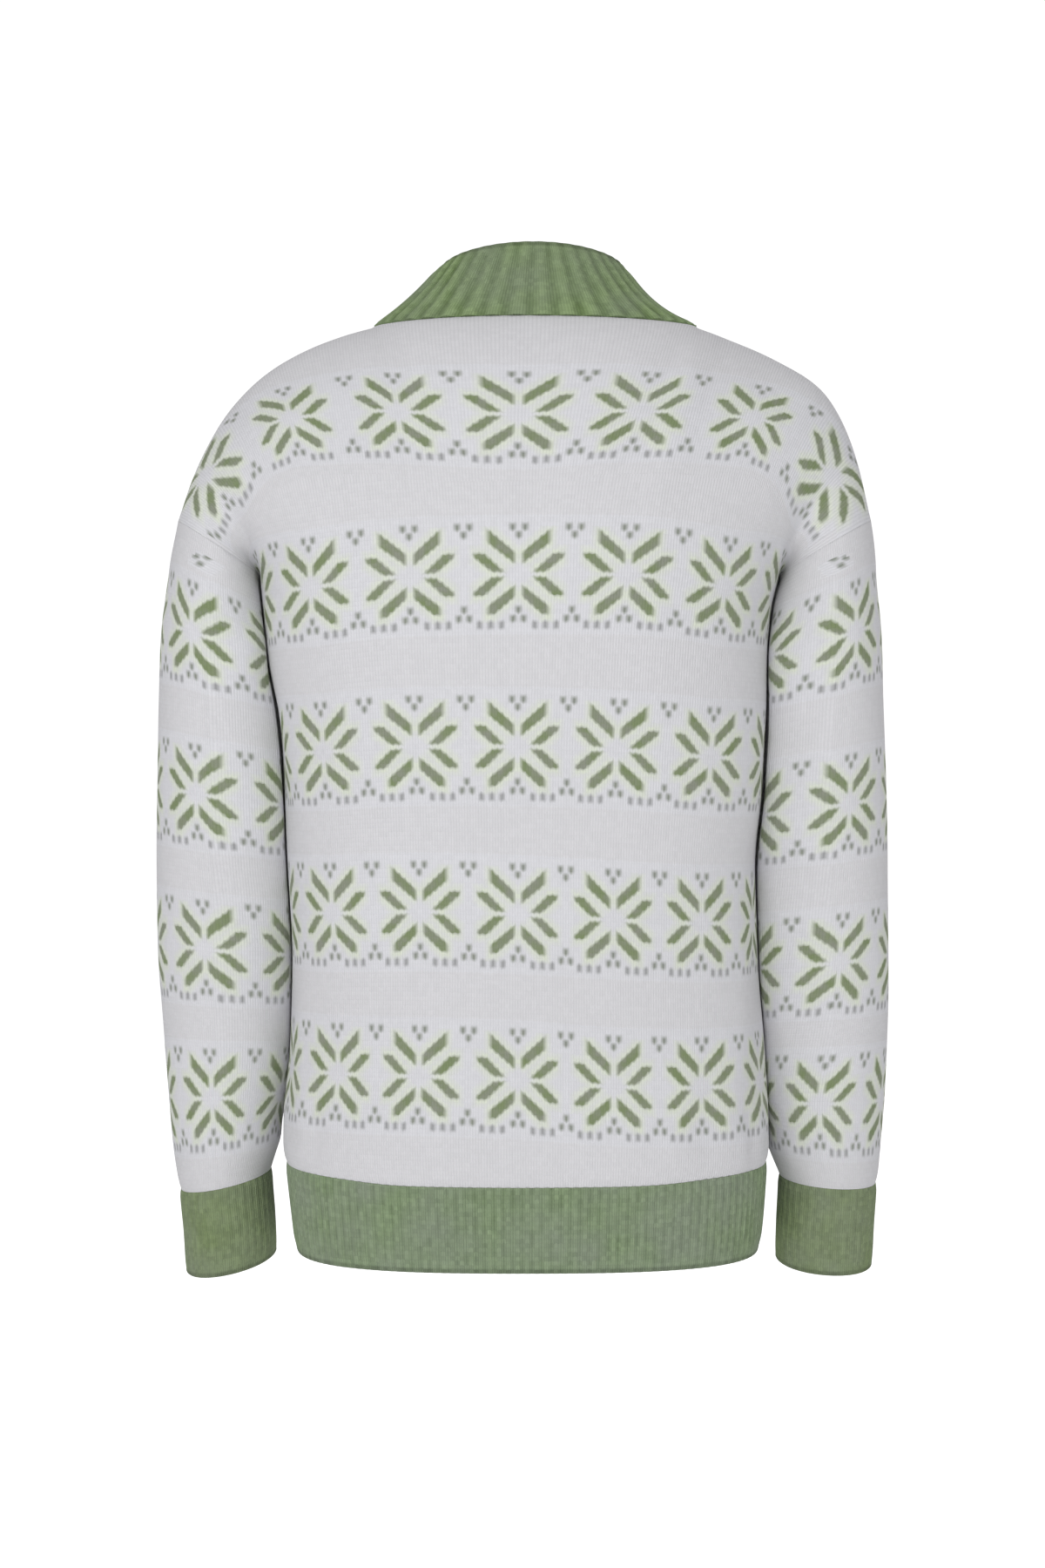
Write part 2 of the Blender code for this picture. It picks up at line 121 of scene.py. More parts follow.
# The collar's upper edge, and how far its wall is bent in below it
COLLAR_MIDDLE = -0.70
COLLAR_HALF_WIDTH = 6.45
COLLAR_BACK = 4.8
COLLAR_FRONT = 6.4
COLLAR_SIDE_Z = 3.85
COLLAR_BACK_RISE = 1.08
COLLAR_FRONT_DROP = 3.3
COLLAR_FRONT_POWER = 1.3
COLLAR_HOLLOW = 0.45
COLLAR_RIGHT_HOLLOW = 0.80  # more at the right side

COLLAR_RIBS = 40
HEM_RIBS = 144
CUFF_RIBS = 36

# Rings of the sleeves and cuffs: height and y of the middle; then for the left, and again for
# the right, x of the middle, half width, half depth and tilt in degrees (outer side up)
SLEEVE = np.array([
    (-15.45, 0, 21.08, 3.43, 5.3, 32.3, 21.02, 3.43, 5.3, 32.3),
    (-18.5, -0.1, 21.45, 3.5, 5.35, 27, 21.3, 3.55, 5.35, 27),
    (-22, -0.2, 21.5, 3.8, 5.3, 20, 21.3, 3.85, 5.3, 20),
    (-27, -0.4, 21.3, 4.15, 5, 14, 21.15, 4.1, 5, 14),
    (-32.3, -0.5, 21.1, 4.4, 4.75, 10, 21.05, 4.35, 4.75, 10),
    (-38, -0.7, 21.05, 4.5, 4.65, 7.5, 21.05, 4.45, 4.65, 7.5),
    (-43.2, -0.9, 21, 4.48, 4.6, 6, 21.1, 4.45, 4.6, 6),
    (-49, -1.3, 20.83, 4.25, 4.5, 2, 21.28, 4.25, 4.5, 4),
    (-53.1, -1.6, 20.7, 4.08, 4.35, -2, 21.28, 4.1, 4.35, 1),
    (-56.8, -1.9, 20.62, 3.86, 4.2, -7, 21.15, 3.95, 4.2, -2),
    (-59.4, -2.1, 20.8, 3.27, 3.75, -12, 21.4, 3.42, 3.8, -4),
    (-62.5, -2.2, 20.58, 3.22, 3.7, -11.5, 21.25, 3.38, 3.75, -3.5),
    (-65.1, -2.3, 20.45, 3.2, 3.65, -11, 21.15, 3.36, 3.7, -3),
])
SLEEVE_TOP = SLEEVE[0, 0]
CUFF_Z = -59.4
CUFF_END_Z = -65.1

# How far the hem band's edges lie above their level: repeats from the middle, seam, lower edge
HEM_SWING = np.array([
    (0, -0.1, 0), (1.2, -0.06, 0), (2, 0.22, 0.02), (2.7, 0.42, 0.1), (3.5, 0.55, 0.35),
])
# How far a sleeve's back hangs below its ring at a height
DROOP = np.array([(-65.1, 0.5), (-59.4, 0.32), (-56, 0.12), (-50, 0)])
FRONT_DROOP = 0.4  # the front's, as a share of the back's
REST_GAP = 0.12  # clearance of a sleeve that rests against the body
REST_SOFTNESS = 0.12  # how softly it comes to rest
REST_POWER = 0.7  # how far the pressed side spreads round the sleeve
SLEEVE_BEND = 3.0  # length over which a sleeve's top bends to the armhole
SHOULDER_OUT = (0.85, 0, 0.53)  # out of the cloth at the top of the left armhole
SHOULDER_INTO = (0.53, 0, -0.85)  # and from there down into the sleeve

# How far a sleeve's inner side is pressed towards the body: ring height, left, right
PRESS = np.array([
    (-59.4, 0, 0), (-57, -0.15, 0.08), (-56, -0.15, 0.12), (-53, 0.35, 0.8), (-48, 1, 1.1),
    (-30, 1.4, 1.5), (-22, 1.5, 1.8), (-18.5, 0.9, 1.2), (-15.5, 0, 0),
])

# ---- knit

ROW = 0.30  # height of one knitted row
REPEAT = 18  # stitches in one repeat of the stars
BAND_ROWS = 36  # rows from one band's middle to the next
BAND_HALF = 13  # rows from a band's middle to its edge
SHOULDER_ROW = 4 * BAND_ROWS  # the middle of the band over the shoulders
SLEEVE_REPEATS = 5
HEM_STITCHES = 2  # stitches to a rib of the hem and cuffs, and of the collar
COLLAR_STITCHES = 4

# Bands across the body: heights of their middles at the stars -2 to 2
BODY_BANDS = np.array([
    (-52.02, -51.78, -51.3, -51.12, -51.12),
    (-41.18, -40.87, -40.49, -40.33, -40.52),
    (-30.16, -29.7, -29.5, -29.49, -29.8),
    (-18.85, -18.25, -18.28, -18.37, -18.87),
])
# Where those stars lie, in repeats of the form
BODY_STARS = np.array([
    (-1.83, -0.905, 0.045, 1.06, 1.96),
    (-1.9, -0.93, 0.045, 1.055, 2.06),
    (-1.94, -0.925, 0.05, 1.065, 2.1),
    (-2.06, -1, 0.035, 1.05, 2.1),
])
STARS = np.array([-2, -1, 0, 1, 2])

# The band over the shoulders: repeats of the form, star, length from the armpit's height up
SHOULDER_BAND = np.array([
    (-3.5, -3.5, 9.55),
    (-3, -3, 7.86),
    (-2.5, -2.5, 9.5),
    (-1.985, -2, 10.6),
    (-1.41, -1.5, 10.62),
    (-0.87, -1, 10.5),
    (0.055, 0, 9.88),
    (1.045, 1, 10.38),
    (1.51, 1.5, 10.56),
    (2.015, 2, 10.62),
    (2.5, 2.5, 9.75),
    (2.985, 3, 8.6),
    (3.5, 3.55, 9.55),
])
# Stitches of that band: its stars 0, 1, 3 and 4 have the usual repeat, star 2 a wider one
WIDE_REPEAT = 22
WIDE_FROM = 27  # stitches from the middle, where star 2's repeat starts and ends
WIDE_TO = 49
WIDE_SHIFT = 6  # brings star 2 to a multiple of its own repeat
PAST_SHIFT = -4  # brings stars 3 and 4 to multiples of theirs
LAST_PETAL = 69  # stitches from the middle, past which only dots go on over the sleeve
CAP_ROW = 1.15  # how much higher a row is over the cap, and the repeats where it becomes so
CAP_REPEATS = (2.4, 2.8)
SHOULDER_ROWS_BELOW = 16  # rows of the shoulder band's own stitches below its middle
LAST_DOTS = 3.42  # repeats of the form, past which the band's lower rows stop
CAP_SHIFT = 0.22  # stars that the sleeve's top starts behind the panel's side
CAP_SLANT = 0.75  # how far it comes down there for each length down the sleeve
CAP_START = 0.90  # its lowest dots lie between these depths on the sleeve
CAP_DEPTH = 2.10
CAP_ROWS = (-12.5, -6)  # and between these rows of the band

# Bands of the sleeves: ring height and turn of a star on the left, and the same on the right
SLEEVE_BANDS = np.array([
    (-53.3, 0.2275, -53.7, 0.278),
    (-43.2, 0.226, -44.1, 0.232),
    (-32.7, 0.209, -33.4, 0.205),
    (-21.9, 0.213, -22, 0.196),
])

# Soft creases of a panel: from and to (repeats, height along the cloth), depth, half width
BACK_CREASES = np.array([
    (3.5, -18, 2.9, -12, 0.08, 1.1), (-3.5, -18, -2.9, -11.6, 0.1, 1.2),
    (3.3, -24, 2.8, -38, 0.12, 1.6), (-3.3, -26, -2.85, -42, 0.12, 1.7),
    (-2.95, -40, -2.7, -55.5, 0.16, 1.5), (3.05, -44, 2.85, -56, 0.12, 1.3),
    (2.3, -58, 2.18, -51.5, 0.1, 0.8), (1.25, -58, 1.32, -53.5, 0.08, 0.9),
    (0.35, -58, 0.28, -54.2, 0.06, 0.8), (-0.8, -58, -0.88, -52.8, 0.08, 1),
    (-1.95, -58, -1.82, -50.5, 0.12, 1), (-2.6, -58, -2.45, -53, 0.12, 0.7),
    (1.6, 0, 2.55, -6.5, 0.1, 1.4), (-1.7, 0, -2.6, -7, 0.1, 1.4),
])
FRONT_CREASES = np.array([
    (3.5, -18, 2.9, -12.3, 0.4, 0.9), (-3.5, -18, -2.9, -12, 0.4, 0.85),
    (3.3, -21, 2.6, -35, 0.2, 1.7), (-3.3, -22, -2.7, -38, 0.16, 1.6),
    (2.95, -42, 2.6, -55, 0.16, 1.4), (-3.05, -43, -2.75, -55.5, 0.14, 1.4),
    (2.05, -58, 1.9, -51, 0.12, 0.9), (0.95, -58, 1.02, -53, 0.08, 1),
    (-0.45, -58, -0.38, -54, 0.07, 0.8), (-1.4, -58, -1.52, -52, 0.1, 1),
    (-2.35, -58, -2.2, -51, 0.1, 0.9), (1.5, -3, 2.4, -9, 0.12, 1.3),
    (-1.6, -3.5, -2.5, -9.5, 0.12, 1.3),
])

# Soft creases of a sleeve: from and to (turn, ring height), depth, half width
LEFT_CREASES = np.array([
    (0.36, -18, 0.24, -22.5, 0.16, 1.1), (0.44, -22, 0.3, -28, 0.12, 1.2),
    (0.46, -35, 0.26, -38.5, 0.12, 1.1), (0.44, -41.5, 0.24, -40, 0.14, 1),
    (0.42, -47, 0.2, -44.5, 0.1, 1.1), (0.1, -50, 0.3, -52.5, 0.08, 1),
    (0.34, -56.5, 0.18, -54.8, 0.12, 0.8), (0.04, -57, 0.16, -56.3, 0.09, 0.7),
    (0.78, -22, 0.64, -18.5, 0.16, 1.1), (0.6, -37, 0.78, -39.5, 0.16, 1.1),
    (0.58, -43.5, 0.8, -42, 0.12, 1), (0.66, -50, 0.88, -52, 0.1, 1.1),
    (0.72, -56.8, 0.9, -55.2, 0.12, 0.8),
])
RIGHT_CREASES = np.array([
    (0.36, -18.5, 0.22, -23.5, 0.16, 1.2), (0.45, -24, 0.3, -30, 0.12, 1.2),
    (0.44, -36.5, 0.22, -39, 0.14, 1.1), (0.45, -43, 0.26, -41.5, 0.12, 1),
    (0.4, -49.5, 0.16, -46, 0.1, 1.2), (0.08, -52.5, 0.28, -54.5, 0.09, 0.9),
    (0.38, -57.2, 0.2, -56, 0.12, 0.8), (0.96, -57, 0.12, -56, 0.09, 0.7),
    (0.8, -21, 0.66, -18.8, 0.16, 1.1), (0.62, -36, 0.8, -38.5, 0.14, 1.1),
    (0.6, -42.5, 0.82, -44, 0.14, 1), (0.68, -49, 0.86, -51.5, 0.1, 1.1),
    (0.7, -57, 0.86, -55.8, 0.12, 0.8),
])
REPEAT_LENGTH = 6.7  # one repeat, and a sleeve's girth, as lengths over the cloth
GIRTH = 28.0

# A trough's edges and fading, in its own widths and lengths
WANDER = 0.25
WANDER_WAVES = 2.2
TROUGH_REACH = 0.42
RIDGE_HEIGHT = 0.35
RIDGE_AT = 2.0
RIDGE_WIDTH = 0.8
SIDE_CALM = 1.5  # lengths beside seams in which a panel's creases fade out
TOP_CALM = 1.2
SLEEVE_CALM = 2.5
REST_TURN = 0.06  # turns beside a sleeve's inner line without creases, and their fading
REST_FADE = 0.10

BLOUSE = 0.09  # how far the knit stands over a band it is sewn to
SLEEVE_BLOUSE = 0.06
BLOUSE_AT = 0.9  # where it stands highest, and half the width of that swelling
BLOUSE_WIDTH = 0.9
SEAM_DIP = 0.09  # how far both sides dip into a seam, and half the width of the dip
SEAM_DIP_WIDTH = 0.30
NECK_DIP_FADE = 0.25  # repeats in which the dip below the collar ends at a neck point
RIM_FLATNESS = 0.85  # how much of a rib's height is gone at the rim of a band
RIM_REACH = 0.55

# Points of the meshes
PANEL_COLUMNS = 169
LOW_ROWS = 96
TOP_ROWS = 56
SLEEVE_COLUMNS = 100
SLEEVE_ROWS = 120
CUFF_ROWS = 20
HEM_ROWS = 18
COLLAR_ROWS = 30
CUFF_STEPS = 8  # columns to a rib
HEM_STEPS = 6
COLLAR_STEPS = 12
RIM_STEPS = 5
SHARP_ANGLE = np.radians(60)
FIRST_RING = 0.35  # a sleeve's second ring lies that far below its first
OVAL_POINTS = 181  # of the fine lines that places are measured on
RING_POINTS = 361
SEAM_POINTS = 121
CORNER_POINTS = 15


def curve(table, column, at):
    """A smooth curve through a column of a table, without overshoot, at values of its first."""
    rows = table[np.argsort(table[:, 0])]
    x = rows[:, 0]
    y = rows[:, column]
    step = np.diff(x)
    slope = np.diff(y) / step
    lean = np.concatenate([slope[:1], np.zeros(len(x) - 2), slope[-1:]])
    for i in range(1, len(x) - 1):
        if slope[i - 1] * slope[i] > 0:
            before = 2 * step[i] + step[i - 1]
            after = step[i] + 2 * step[i - 1]
            lean[i] = (before + after) / (before / slope[i - 1] + after / slope[i])
    at = np.clip(np.asarray(at, float), x[0], x[-1])
    i = np.clip(np.searchsorted(x, at) - 1, 0, len(x) - 2)
    t = (at - x[i]) / step[i]
    start = (2 * t**3 - 3 * t**2 + 1) * y[i] + (t**3 - 2 * t**2 + t) * step[i] * lean[i]
    end = (3 * t**2 - 2 * t**3) * y[i + 1] + (t**3 - t**2) * step[i] * lean[i + 1]
    return start + end


def unit(vectors):
    return vectors / np.maximum(np.linalg.norm(vectors, axis=-1, keepdims=True), 1e-12)


def line_length(points):
    """Length along a line of points, or along each column of a grid of rows."""
    steps = np.linalg.norm(np.diff(points, axis=0), axis=-1)
    return np.concatenate([np.zeros((1,) + steps.shape[1:]), np.cumsum(steps, axis=0)])


def even(points, share):
    length = line_length(points)
    at = np.asarray(share) * length[-1]
    return np.stack([np.interp(at, length, points[:, i]) for i in range(points.shape[1])], -1)


def quarter_oval(width, depth, share, power):
    angle = np.linspace(0, np.pi / 2, OVAL_POINTS)
    line = np.stack([width * np.sin(angle) ** (2 / power), depth * np.cos(angle) ** (2 / power)], -1)
    return even(line, share)


def torso_row(z, repeat, half):
    depth = curve(TORSO, DEPTH[half], z)
    power = curve(TORSO, SQUARENESS, z)
    row = np.zeros((len(repeat), 3))
    for side in (LEFT, RIGHT):
        here = repeat * side >= 0
        share = np.abs(repeat[here]) / HALF_PANEL
        oval = quarter_oval(curve(TORSO, WIDTH[side], z), depth, share, power)
        row[here, 0] = side * oval[:, 0]
        row[here, 1] = half * oval[:, 1]
    row[:, 2] = z
    return row


def torso_side(side, y, z):
    width = curve(TORSO, WIDTH[side], z)
    depth = np.where(y >= 0, curve(TORSO, DEPTH[BACK], z), curve(TORSO, DEPTH[FRONT], z))
    power = curve(TORSO, SQUARENESS, z)
    return width * np.clip(1 - np.abs(y / depth) ** power, 0, 1) ** (1 / power)


def neck_seam(across, away):
    reach = np.where(across >= 0, NECK_LEFT, NECK_RIGHT)
    x = NECK_MIDDLE * (1 - np.abs(across)) + across * reach
    y = np.where(away >= 0, NECK_BACK, NECK_FRONT) * away
    front_drop = NECK_FRONT_DROP * np.abs(away) ** NECK_FRONT_POWER
    z = np.where(away >= 0, -NECK_BACK_DROP * np.abs(away), -front_drop)
    return np.stack([x, y, z], -1)


def neck_out(across, away):
    sideways, backwards, up, side_up = NECK_OUT
    return unit(np.stack([sideways * across, backwards * away, up + side_up * across**2], -1))


def collar_edge(across, away):
    front_drop = COLLAR_FRONT_DROP * np.abs(away) ** COLLAR_FRONT_POWER
    rise = np.where(away >= 0, COLLAR_BACK_RISE * away, -front_drop)
    x = COLLAR_MIDDLE + COLLAR_HALF_WIDTH * across
    y = np.where(away >= 0, COLLAR_BACK, COLLAR_FRONT) * away
    return np.stack([x, y, COLLAR_SIDE_Z + rise], -1)


def neck_up(across, away):
    out = neck_out(across, away)
    up = collar_edge(across, away) - neck_seam(across, away)
    return unit(up - out * np.sum(up * out, axis=-1, keepdims=True))


def neck_place(repeat, half):
    deep = NECK_BACK if half == BACK else NECK_FRONT
    wide = (NECK_LEFT + NECK_RIGHT) / 2
    oval = quarter_oval(1.0, deep / wide, np.abs(repeat) / NECK_REPEAT, 2)
    return np.where(repeat >= 0, 1, -1) * oval[:, 0], half * oval[:, 1] * wide / deep


def top_seam(repeat, half):
    row = np.zeros((len(repeat), 3))
    at_neck = np.abs(repeat) <= NECK_REPEAT
    row[at_neck] = neck_seam(*neck_place(repeat[at_neck], half))
    for side in (LEFT, RIGHT):
        here = repeat * side > NECK_REPEAT
        row[here, 0] = side * curve(SHOULDER, SHOULDER_X[side], np.abs(repeat[here]))
        row[here, 2] = curve(SHOULDER, SHOULDER_Z[side], np.abs(repeat[here]))
    return row


def yoke(repeat, rise, half):
    """Upper part of a panel: rows at shares of the rise from the armpit's height to the top seam."""
    low = torso_row(ARMPIT_Z, repeat, half)
    high = top_seam(repeat, half)
    far = np.abs(repeat)
    rising, out, away, up, falling, back, down = (curve(DRAPE, i, far) for i in range(1, 8))
    start = unit(np.stack([np.sign(repeat) * out, half * away, up], -1))
    end = unit(np.stack([0 * far, half * back, -down], -1))
    low_pull = low + start * rising[:, None]
    # the seam keeps the corner at the neck point, and the cloth below it soon loses it
    spread = np.linspace(-NECK_SOFTNESS, NECK_SOFTNESS, CORNER_POINTS)
    nearby = [top_seam(np.clip(repeat + step, -HALF_PANEL, HALF_PANEL), half) for step in spread]
    near_corner = np.exp(-((far - NECK_REPEAT) / NECK_SOFTNESS) ** 4)[:, None]
    soft_high = high + near_corner * (np.mean(nearby, axis=0) - high)
    high_pull = soft_high + end * falling[:, None]
    t = rise[:, None, None]
    top = soft_high + (high - soft_high) * t**CORNER_FADE
    return ((1 - t)**3 * low + 3 * (1 - t)**2 * t * low_pull
            + 3 * (1 - t) * t**2 * high_pull + t**3 * top)


def armhole_frame(across, away, side):
    """Directions out of the cloth and into the sleeve round an armhole."""
    outer = np.clip(across, 0, None)[:, None]
    under = np.clip(-across, 0, None)[:, None]
    out = unit(outer * SHOULDER_OUT + under * (0, 0, -1) + away[:, None] * (0, 1, 0))
    into = unit((1 - under) * SHOULDER_INTO + under * (1, 0, 0))
    into = unit(into - out * np.sum(into * out, axis=1, keepdims=True))
    return out * (side, 1, 1), into * (side, 1, 1)


def armhole(side, turn):
    edge = np.array([side * HALF_PANEL])
    rise = np.linspace(0, 1, SEAM_POINTS)
    back = even(yoke(edge, rise, BACK)[:, 0], 1 - 2 * np.clip(turn, 0, 0.5))
    front = even(yoke(edge, rise, FRONT)[:, 0], 2 * np.clip(turn, 0.5, 1) - 1)
    return np.where((turn <= 0.5)[:, None], back, front)


def sleeve_ring(side, z, turn):
    first = 2 if side == LEFT else 6
    x, width, depth, tilt = (curve(SLEEVE, first + i, z) for i in range(4))
    y = curve(SLEEVE, 1, z)
    angle = np.linspace(0, 2 * np.pi, RING_POINTS)
    line = even(np.stack([width * np.cos(angle), depth * np.sin(angle)], -1), turn)
    tilt = np.radians(tilt)
    return np.stack([x + line[:, 0] * np.cos(tilt), y + line[:, 1], z + line[:, 0] * np.sin(tilt)], -1)


def sleeve_rows(side, heights, turn):
    """Rings of a sleeve, bent to the armhole at the top and resting against the torso's side."""
    seam = armhole(side, turn) * (side, 1, 1)
    bend = seam - sleeve_ring(side, SLEEVE_TOP, turn)
    rows = []
    for z in heights:
        row = sleeve_ring(side, z, turn) + bend * np.exp(-((SLEEVE_TOP - z) / SLEEVE_BEND) ** 2)
        press = curve(PRESS, WIDTH[side], z)
        row[:, 0] -= press * np.clip(-np.cos(2 * np.pi * turn), 0, 1) ** REST_POWER
        hang = np.sin(2 * np.pi * turn)
        row[:, 2] -= curve(DROOP, 1, z) * np.where(hang > 0, hang, -FRONT_DROOP * hang)
        if z < SLEEVE_TOP:
            wall = torso_side(side, row[:, 1], np.minimum(row[:, 2], ARMPIT_Z)) + REST_GAP
            past = row[:, 0] - wall
            row[:, 0] = wall + (past + np.sqrt(past**2 + REST_SOFTNESS**2)) / 2
        rows.append(row * (side, 1, 1))
    return np.array(rows)


def outward(points, closed, sign):
    """Directions out of the cloth at a grid of points."""
    if closed:
        along = np.roll(points, -1, axis=1) - np.roll(points, 1, axis=1)
    else:
        along = np.gradient(points, axis=1)
    return sign * unit(np.cross(along, np.gradient(points, axis=0)))


def seam_end(points, out, row):
    """Flatten a ring's wall into the plane of its seam and draw it back by half the gap."""
    inner = 1 if row == 0 else -2
    middle = points[row].mean(axis=0)
    count = points.shape[1]
    plane = unit(np.cross(points[row, count // 4] - middle, points[row, count // 2] - middle))
    plane = plane * np.sign(np.dot(plane, middle - points[inner].mean(axis=0)))
    points[row] -= plane * SEAM / 2
    out[row] = unit(out[row] - plane * (out[row] @ plane)[:, None])


# ---- creases and seams

def crease_depth(across, along, creases, stretch, closed=False):
    """Depth of soft troughs at repeats or turns across, of a length each, and heights along."""
    depth = 0
    for x0, y0, x1, y1, deep, wide in creases * (stretch, 1, stretch, 1, 1, 1):
        run = np.array([x1 - x0, y1 - y0])
        length = np.hypot(*run)
        run = run / length
        off = across * stretch - x0
        if closed:
            off = (off + stretch / 2) % stretch - stretch / 2
        t = off * run[0] + (along - y0) * run[1]
        side = -off * run[1] + (along - y0) * run[0]
        # the trough wanders a little and fades at both ends
        side = side + WANDER * wide * np.sin(WANDER_WAVES * t / length * np.pi + x0)
        fade = np.exp(-((t / length - 0.5) / TROUGH_REACH) ** 4)
        ridge = RIDGE_HEIGHT * np.exp(-((np.abs(side) - RIDGE_AT * wide) / (RIDGE_WIDTH * wide)) ** 2)
        depth = depth + deep * fade * (np.exp(-(side / wide) ** 2) - ridge)
    return depth


def seam_dip(distance):
    """Height of the cloth beside a seam that it dips into."""
    return -SEAM_DIP * np.exp(-(distance / SEAM_DIP_WIDTH) ** 2)


def overhang(distance, blouse):
    """The same for knit that hangs softly over a band it is sewn to."""
    return blouse * np.exp(-((distance - BLOUSE_AT) / BLOUSE_WIDTH) ** 2) + seam_dip(distance)


# ---- where the stitches lie

def count_between(value, knots, counts, step):
    """Counts on straight lines between knots, and one for each step before and after them."""
    count = counts[0] + (value - knots[0]) / step
    for i in range(len(knots) - 1):
        share = (value - knots[i]) / (knots[i + 1] - knots[i])
        between = counts[i] + share * (counts[i + 1] - counts[i])
        count = np.where(value > knots[i], between, count)
    return np.where(value > knots[-1], counts[-1] + (value - knots[-1]) / step, count)


def band_rows(middles, z):
    """Knitted row at heights, counted from the lowest band's middle, given each band's own."""
    edges = [(number, edge) for number in range(len(middles)) for edge in (-BAND_HALF, BAND_HALF)]
    knots = [middles[number] + edge * ROW for number, edge in edges]
    return count_between(z, knots, [number * BAND_ROWS + edge for number, edge in edges], ROW)


def body_stitches(repeat, row):
    """Stitch, counted from the middle star, at repeats of the form and knitted rows."""
    middles = np.arange(len(BODY_STARS)) * BAND_ROWS
    places = [np.interp(row, middles, star) for star in BODY_STARS.T]
    return count_between(repeat, places, STARS, 1) * REPEAT


def shoulder_stitches(repeat, climb):
    """Stitch and row of the shoulder band at repeats and lengths up from the armpit's height."""
    # the panel's columns are a little uneven there, so stars keep their own places
    star = np.interp(repeat, SHOULDER_BAND[:, 0], SHOULDER_BAND[:, 1])
    middle = curve(SHOULDER_BAND, 2, repeat)
    high = ROW * np.interp(np.abs(repeat), CAP_REPEATS, (1, CAP_ROW))
    rows = SHOULDER_ROW + (climb - middle) / high
    return np.stack(np.broadcast_arrays(shoulder_count(star), rows), -1)


def shoulder_count(star):
    """Stitch of the shoulder band at a star's number."""
    last = WIDE_TO + 2 * REPEAT
    return np.sign(star) * np.interp(np.abs(star), [0, 1.5, 2.5, 4.5], [0, WIDE_FROM, WIDE_TO, last])


# ---- meshes

def add_object(name, data):
    thing = bpy.data.objects.new(name, data)
    bpy.context.scene.collection.objects.link(thing)
    return thing


def add_mesh(name, points, faces, uvs, slots, materials):
    mesh = bpy.data.meshes.new(name)
    mesh.from_pydata(points.tolist(), [], faces.tolist())
    mesh.uv_layers.new(name="Stitches").data.foreach_set("uv", uvs.astype(np.float32).ravel())
    for material in materials:
        mesh.materials.append(material)
    mesh.polygons.foreach_set("material_index", slots.astype(np.int32))
    work = bmesh.new()
    work.from_mesh(mesh)
    bmesh.ops.recalc_face_normals(work, faces=work.faces)
    work.to_mesh(mesh)
    work.free()
    mesh.shade_smooth()
    mesh.set_sharp_from_angle(angle=SHARP_ANGLE)
    return add_object(name, mesh)


def round_edge(outside, inside):
    """Rows of points round a wall's last edge, from its outer face to its inner one."""
    middle = (outside + inside) / 2
    radius = (outside[-1] - inside[-1]) / 2
    ahead = unit(middle[-1] - middle[-2]) * np.linalg.norm(radius, axis=1, keepdims=True)
    turns = np.pi * np.arange(1, RIM_STEPS) / RIM_STEPS
    return [middle[-1] + radius * np.cos(a) + ahead * np.sin(a) for a in turns]


def make_shell(name, outside, inside, stitches, materials, closed, rim=(), second=None):
    """A thin shell from two grids of points, closed round its columns or with two side edges.
    rim is the rows of a round edge, stitches each point's stitch and row, and second another
    such grid with the cells that have it. materials are the outer and the inner one."""
    rows, columns = outside.shape[:2]
    profile = np.array([*outside, *rim, *inside[::-1]])
    here = np.array([*range(rows), *[rows - 1] * len(rim), *reversed(range(rows))])
    there = np.roll(here, -1)
    count = len(profile)
    i = np.arange(count)[:, None]
    j = np.arange(columns if closed else columns - 1)
    after = (i + 1) % count * columns
    beside = (j + 1) % columns
    ring = (i * columns + j, i * columns + beside, after + beside, after + j)
    faces = np.stack(ring, -1).reshape(-1, 4)

    def corners(marks):
        places = ((here, j), (here, j + 1), (there, j + 1), (there, j))
        return np.stack([marks[row[:, None], column] for row, column in places], 2)

    uvs = corners(stitches)
    if second:
        marks, chosen = second
        cell = np.minimum(np.minimum(here, there), rows - 2)
        uvs = np.where(chosen[cell[:, None], j][..., None, None], corners(marks), uvs)
    uvs = uvs.reshape(-1, 4, 2)
    inner = count - rows
    slots = np.where((i >= inner) & (i < count - 1), 1, 0 * j).ravel()
    if not closed:
        row = np.arange(rows - 1)
        for column, order in ((0, 1), (columns - 1, -1)):
            edge = np.stack([row, row + 1, count - 2 - row, count - 1 - row], -1)
            marks = stitches[np.stack([row, row + 1, row + 1, row], -1), column]
            faces = np.concatenate([faces, (edge * columns + column)[:, ::order]])
            uvs = np.concatenate([uvs, marks])
            slots = np.concatenate([slots, 0 * row])
    return add_mesh(name, profile.reshape(-1, 3) * CM, faces, uvs, slots, materials)


def make_knit(name, points, out, lift, closed, stitches, band, use_band):
    outside = points + out * lift[..., None]
    return make_shell(name, outside, outside - out * KNIT_WALL, stitches,
                      (PALE_KNIT, PALE_REVERSE), closed, second=(band, use_band))


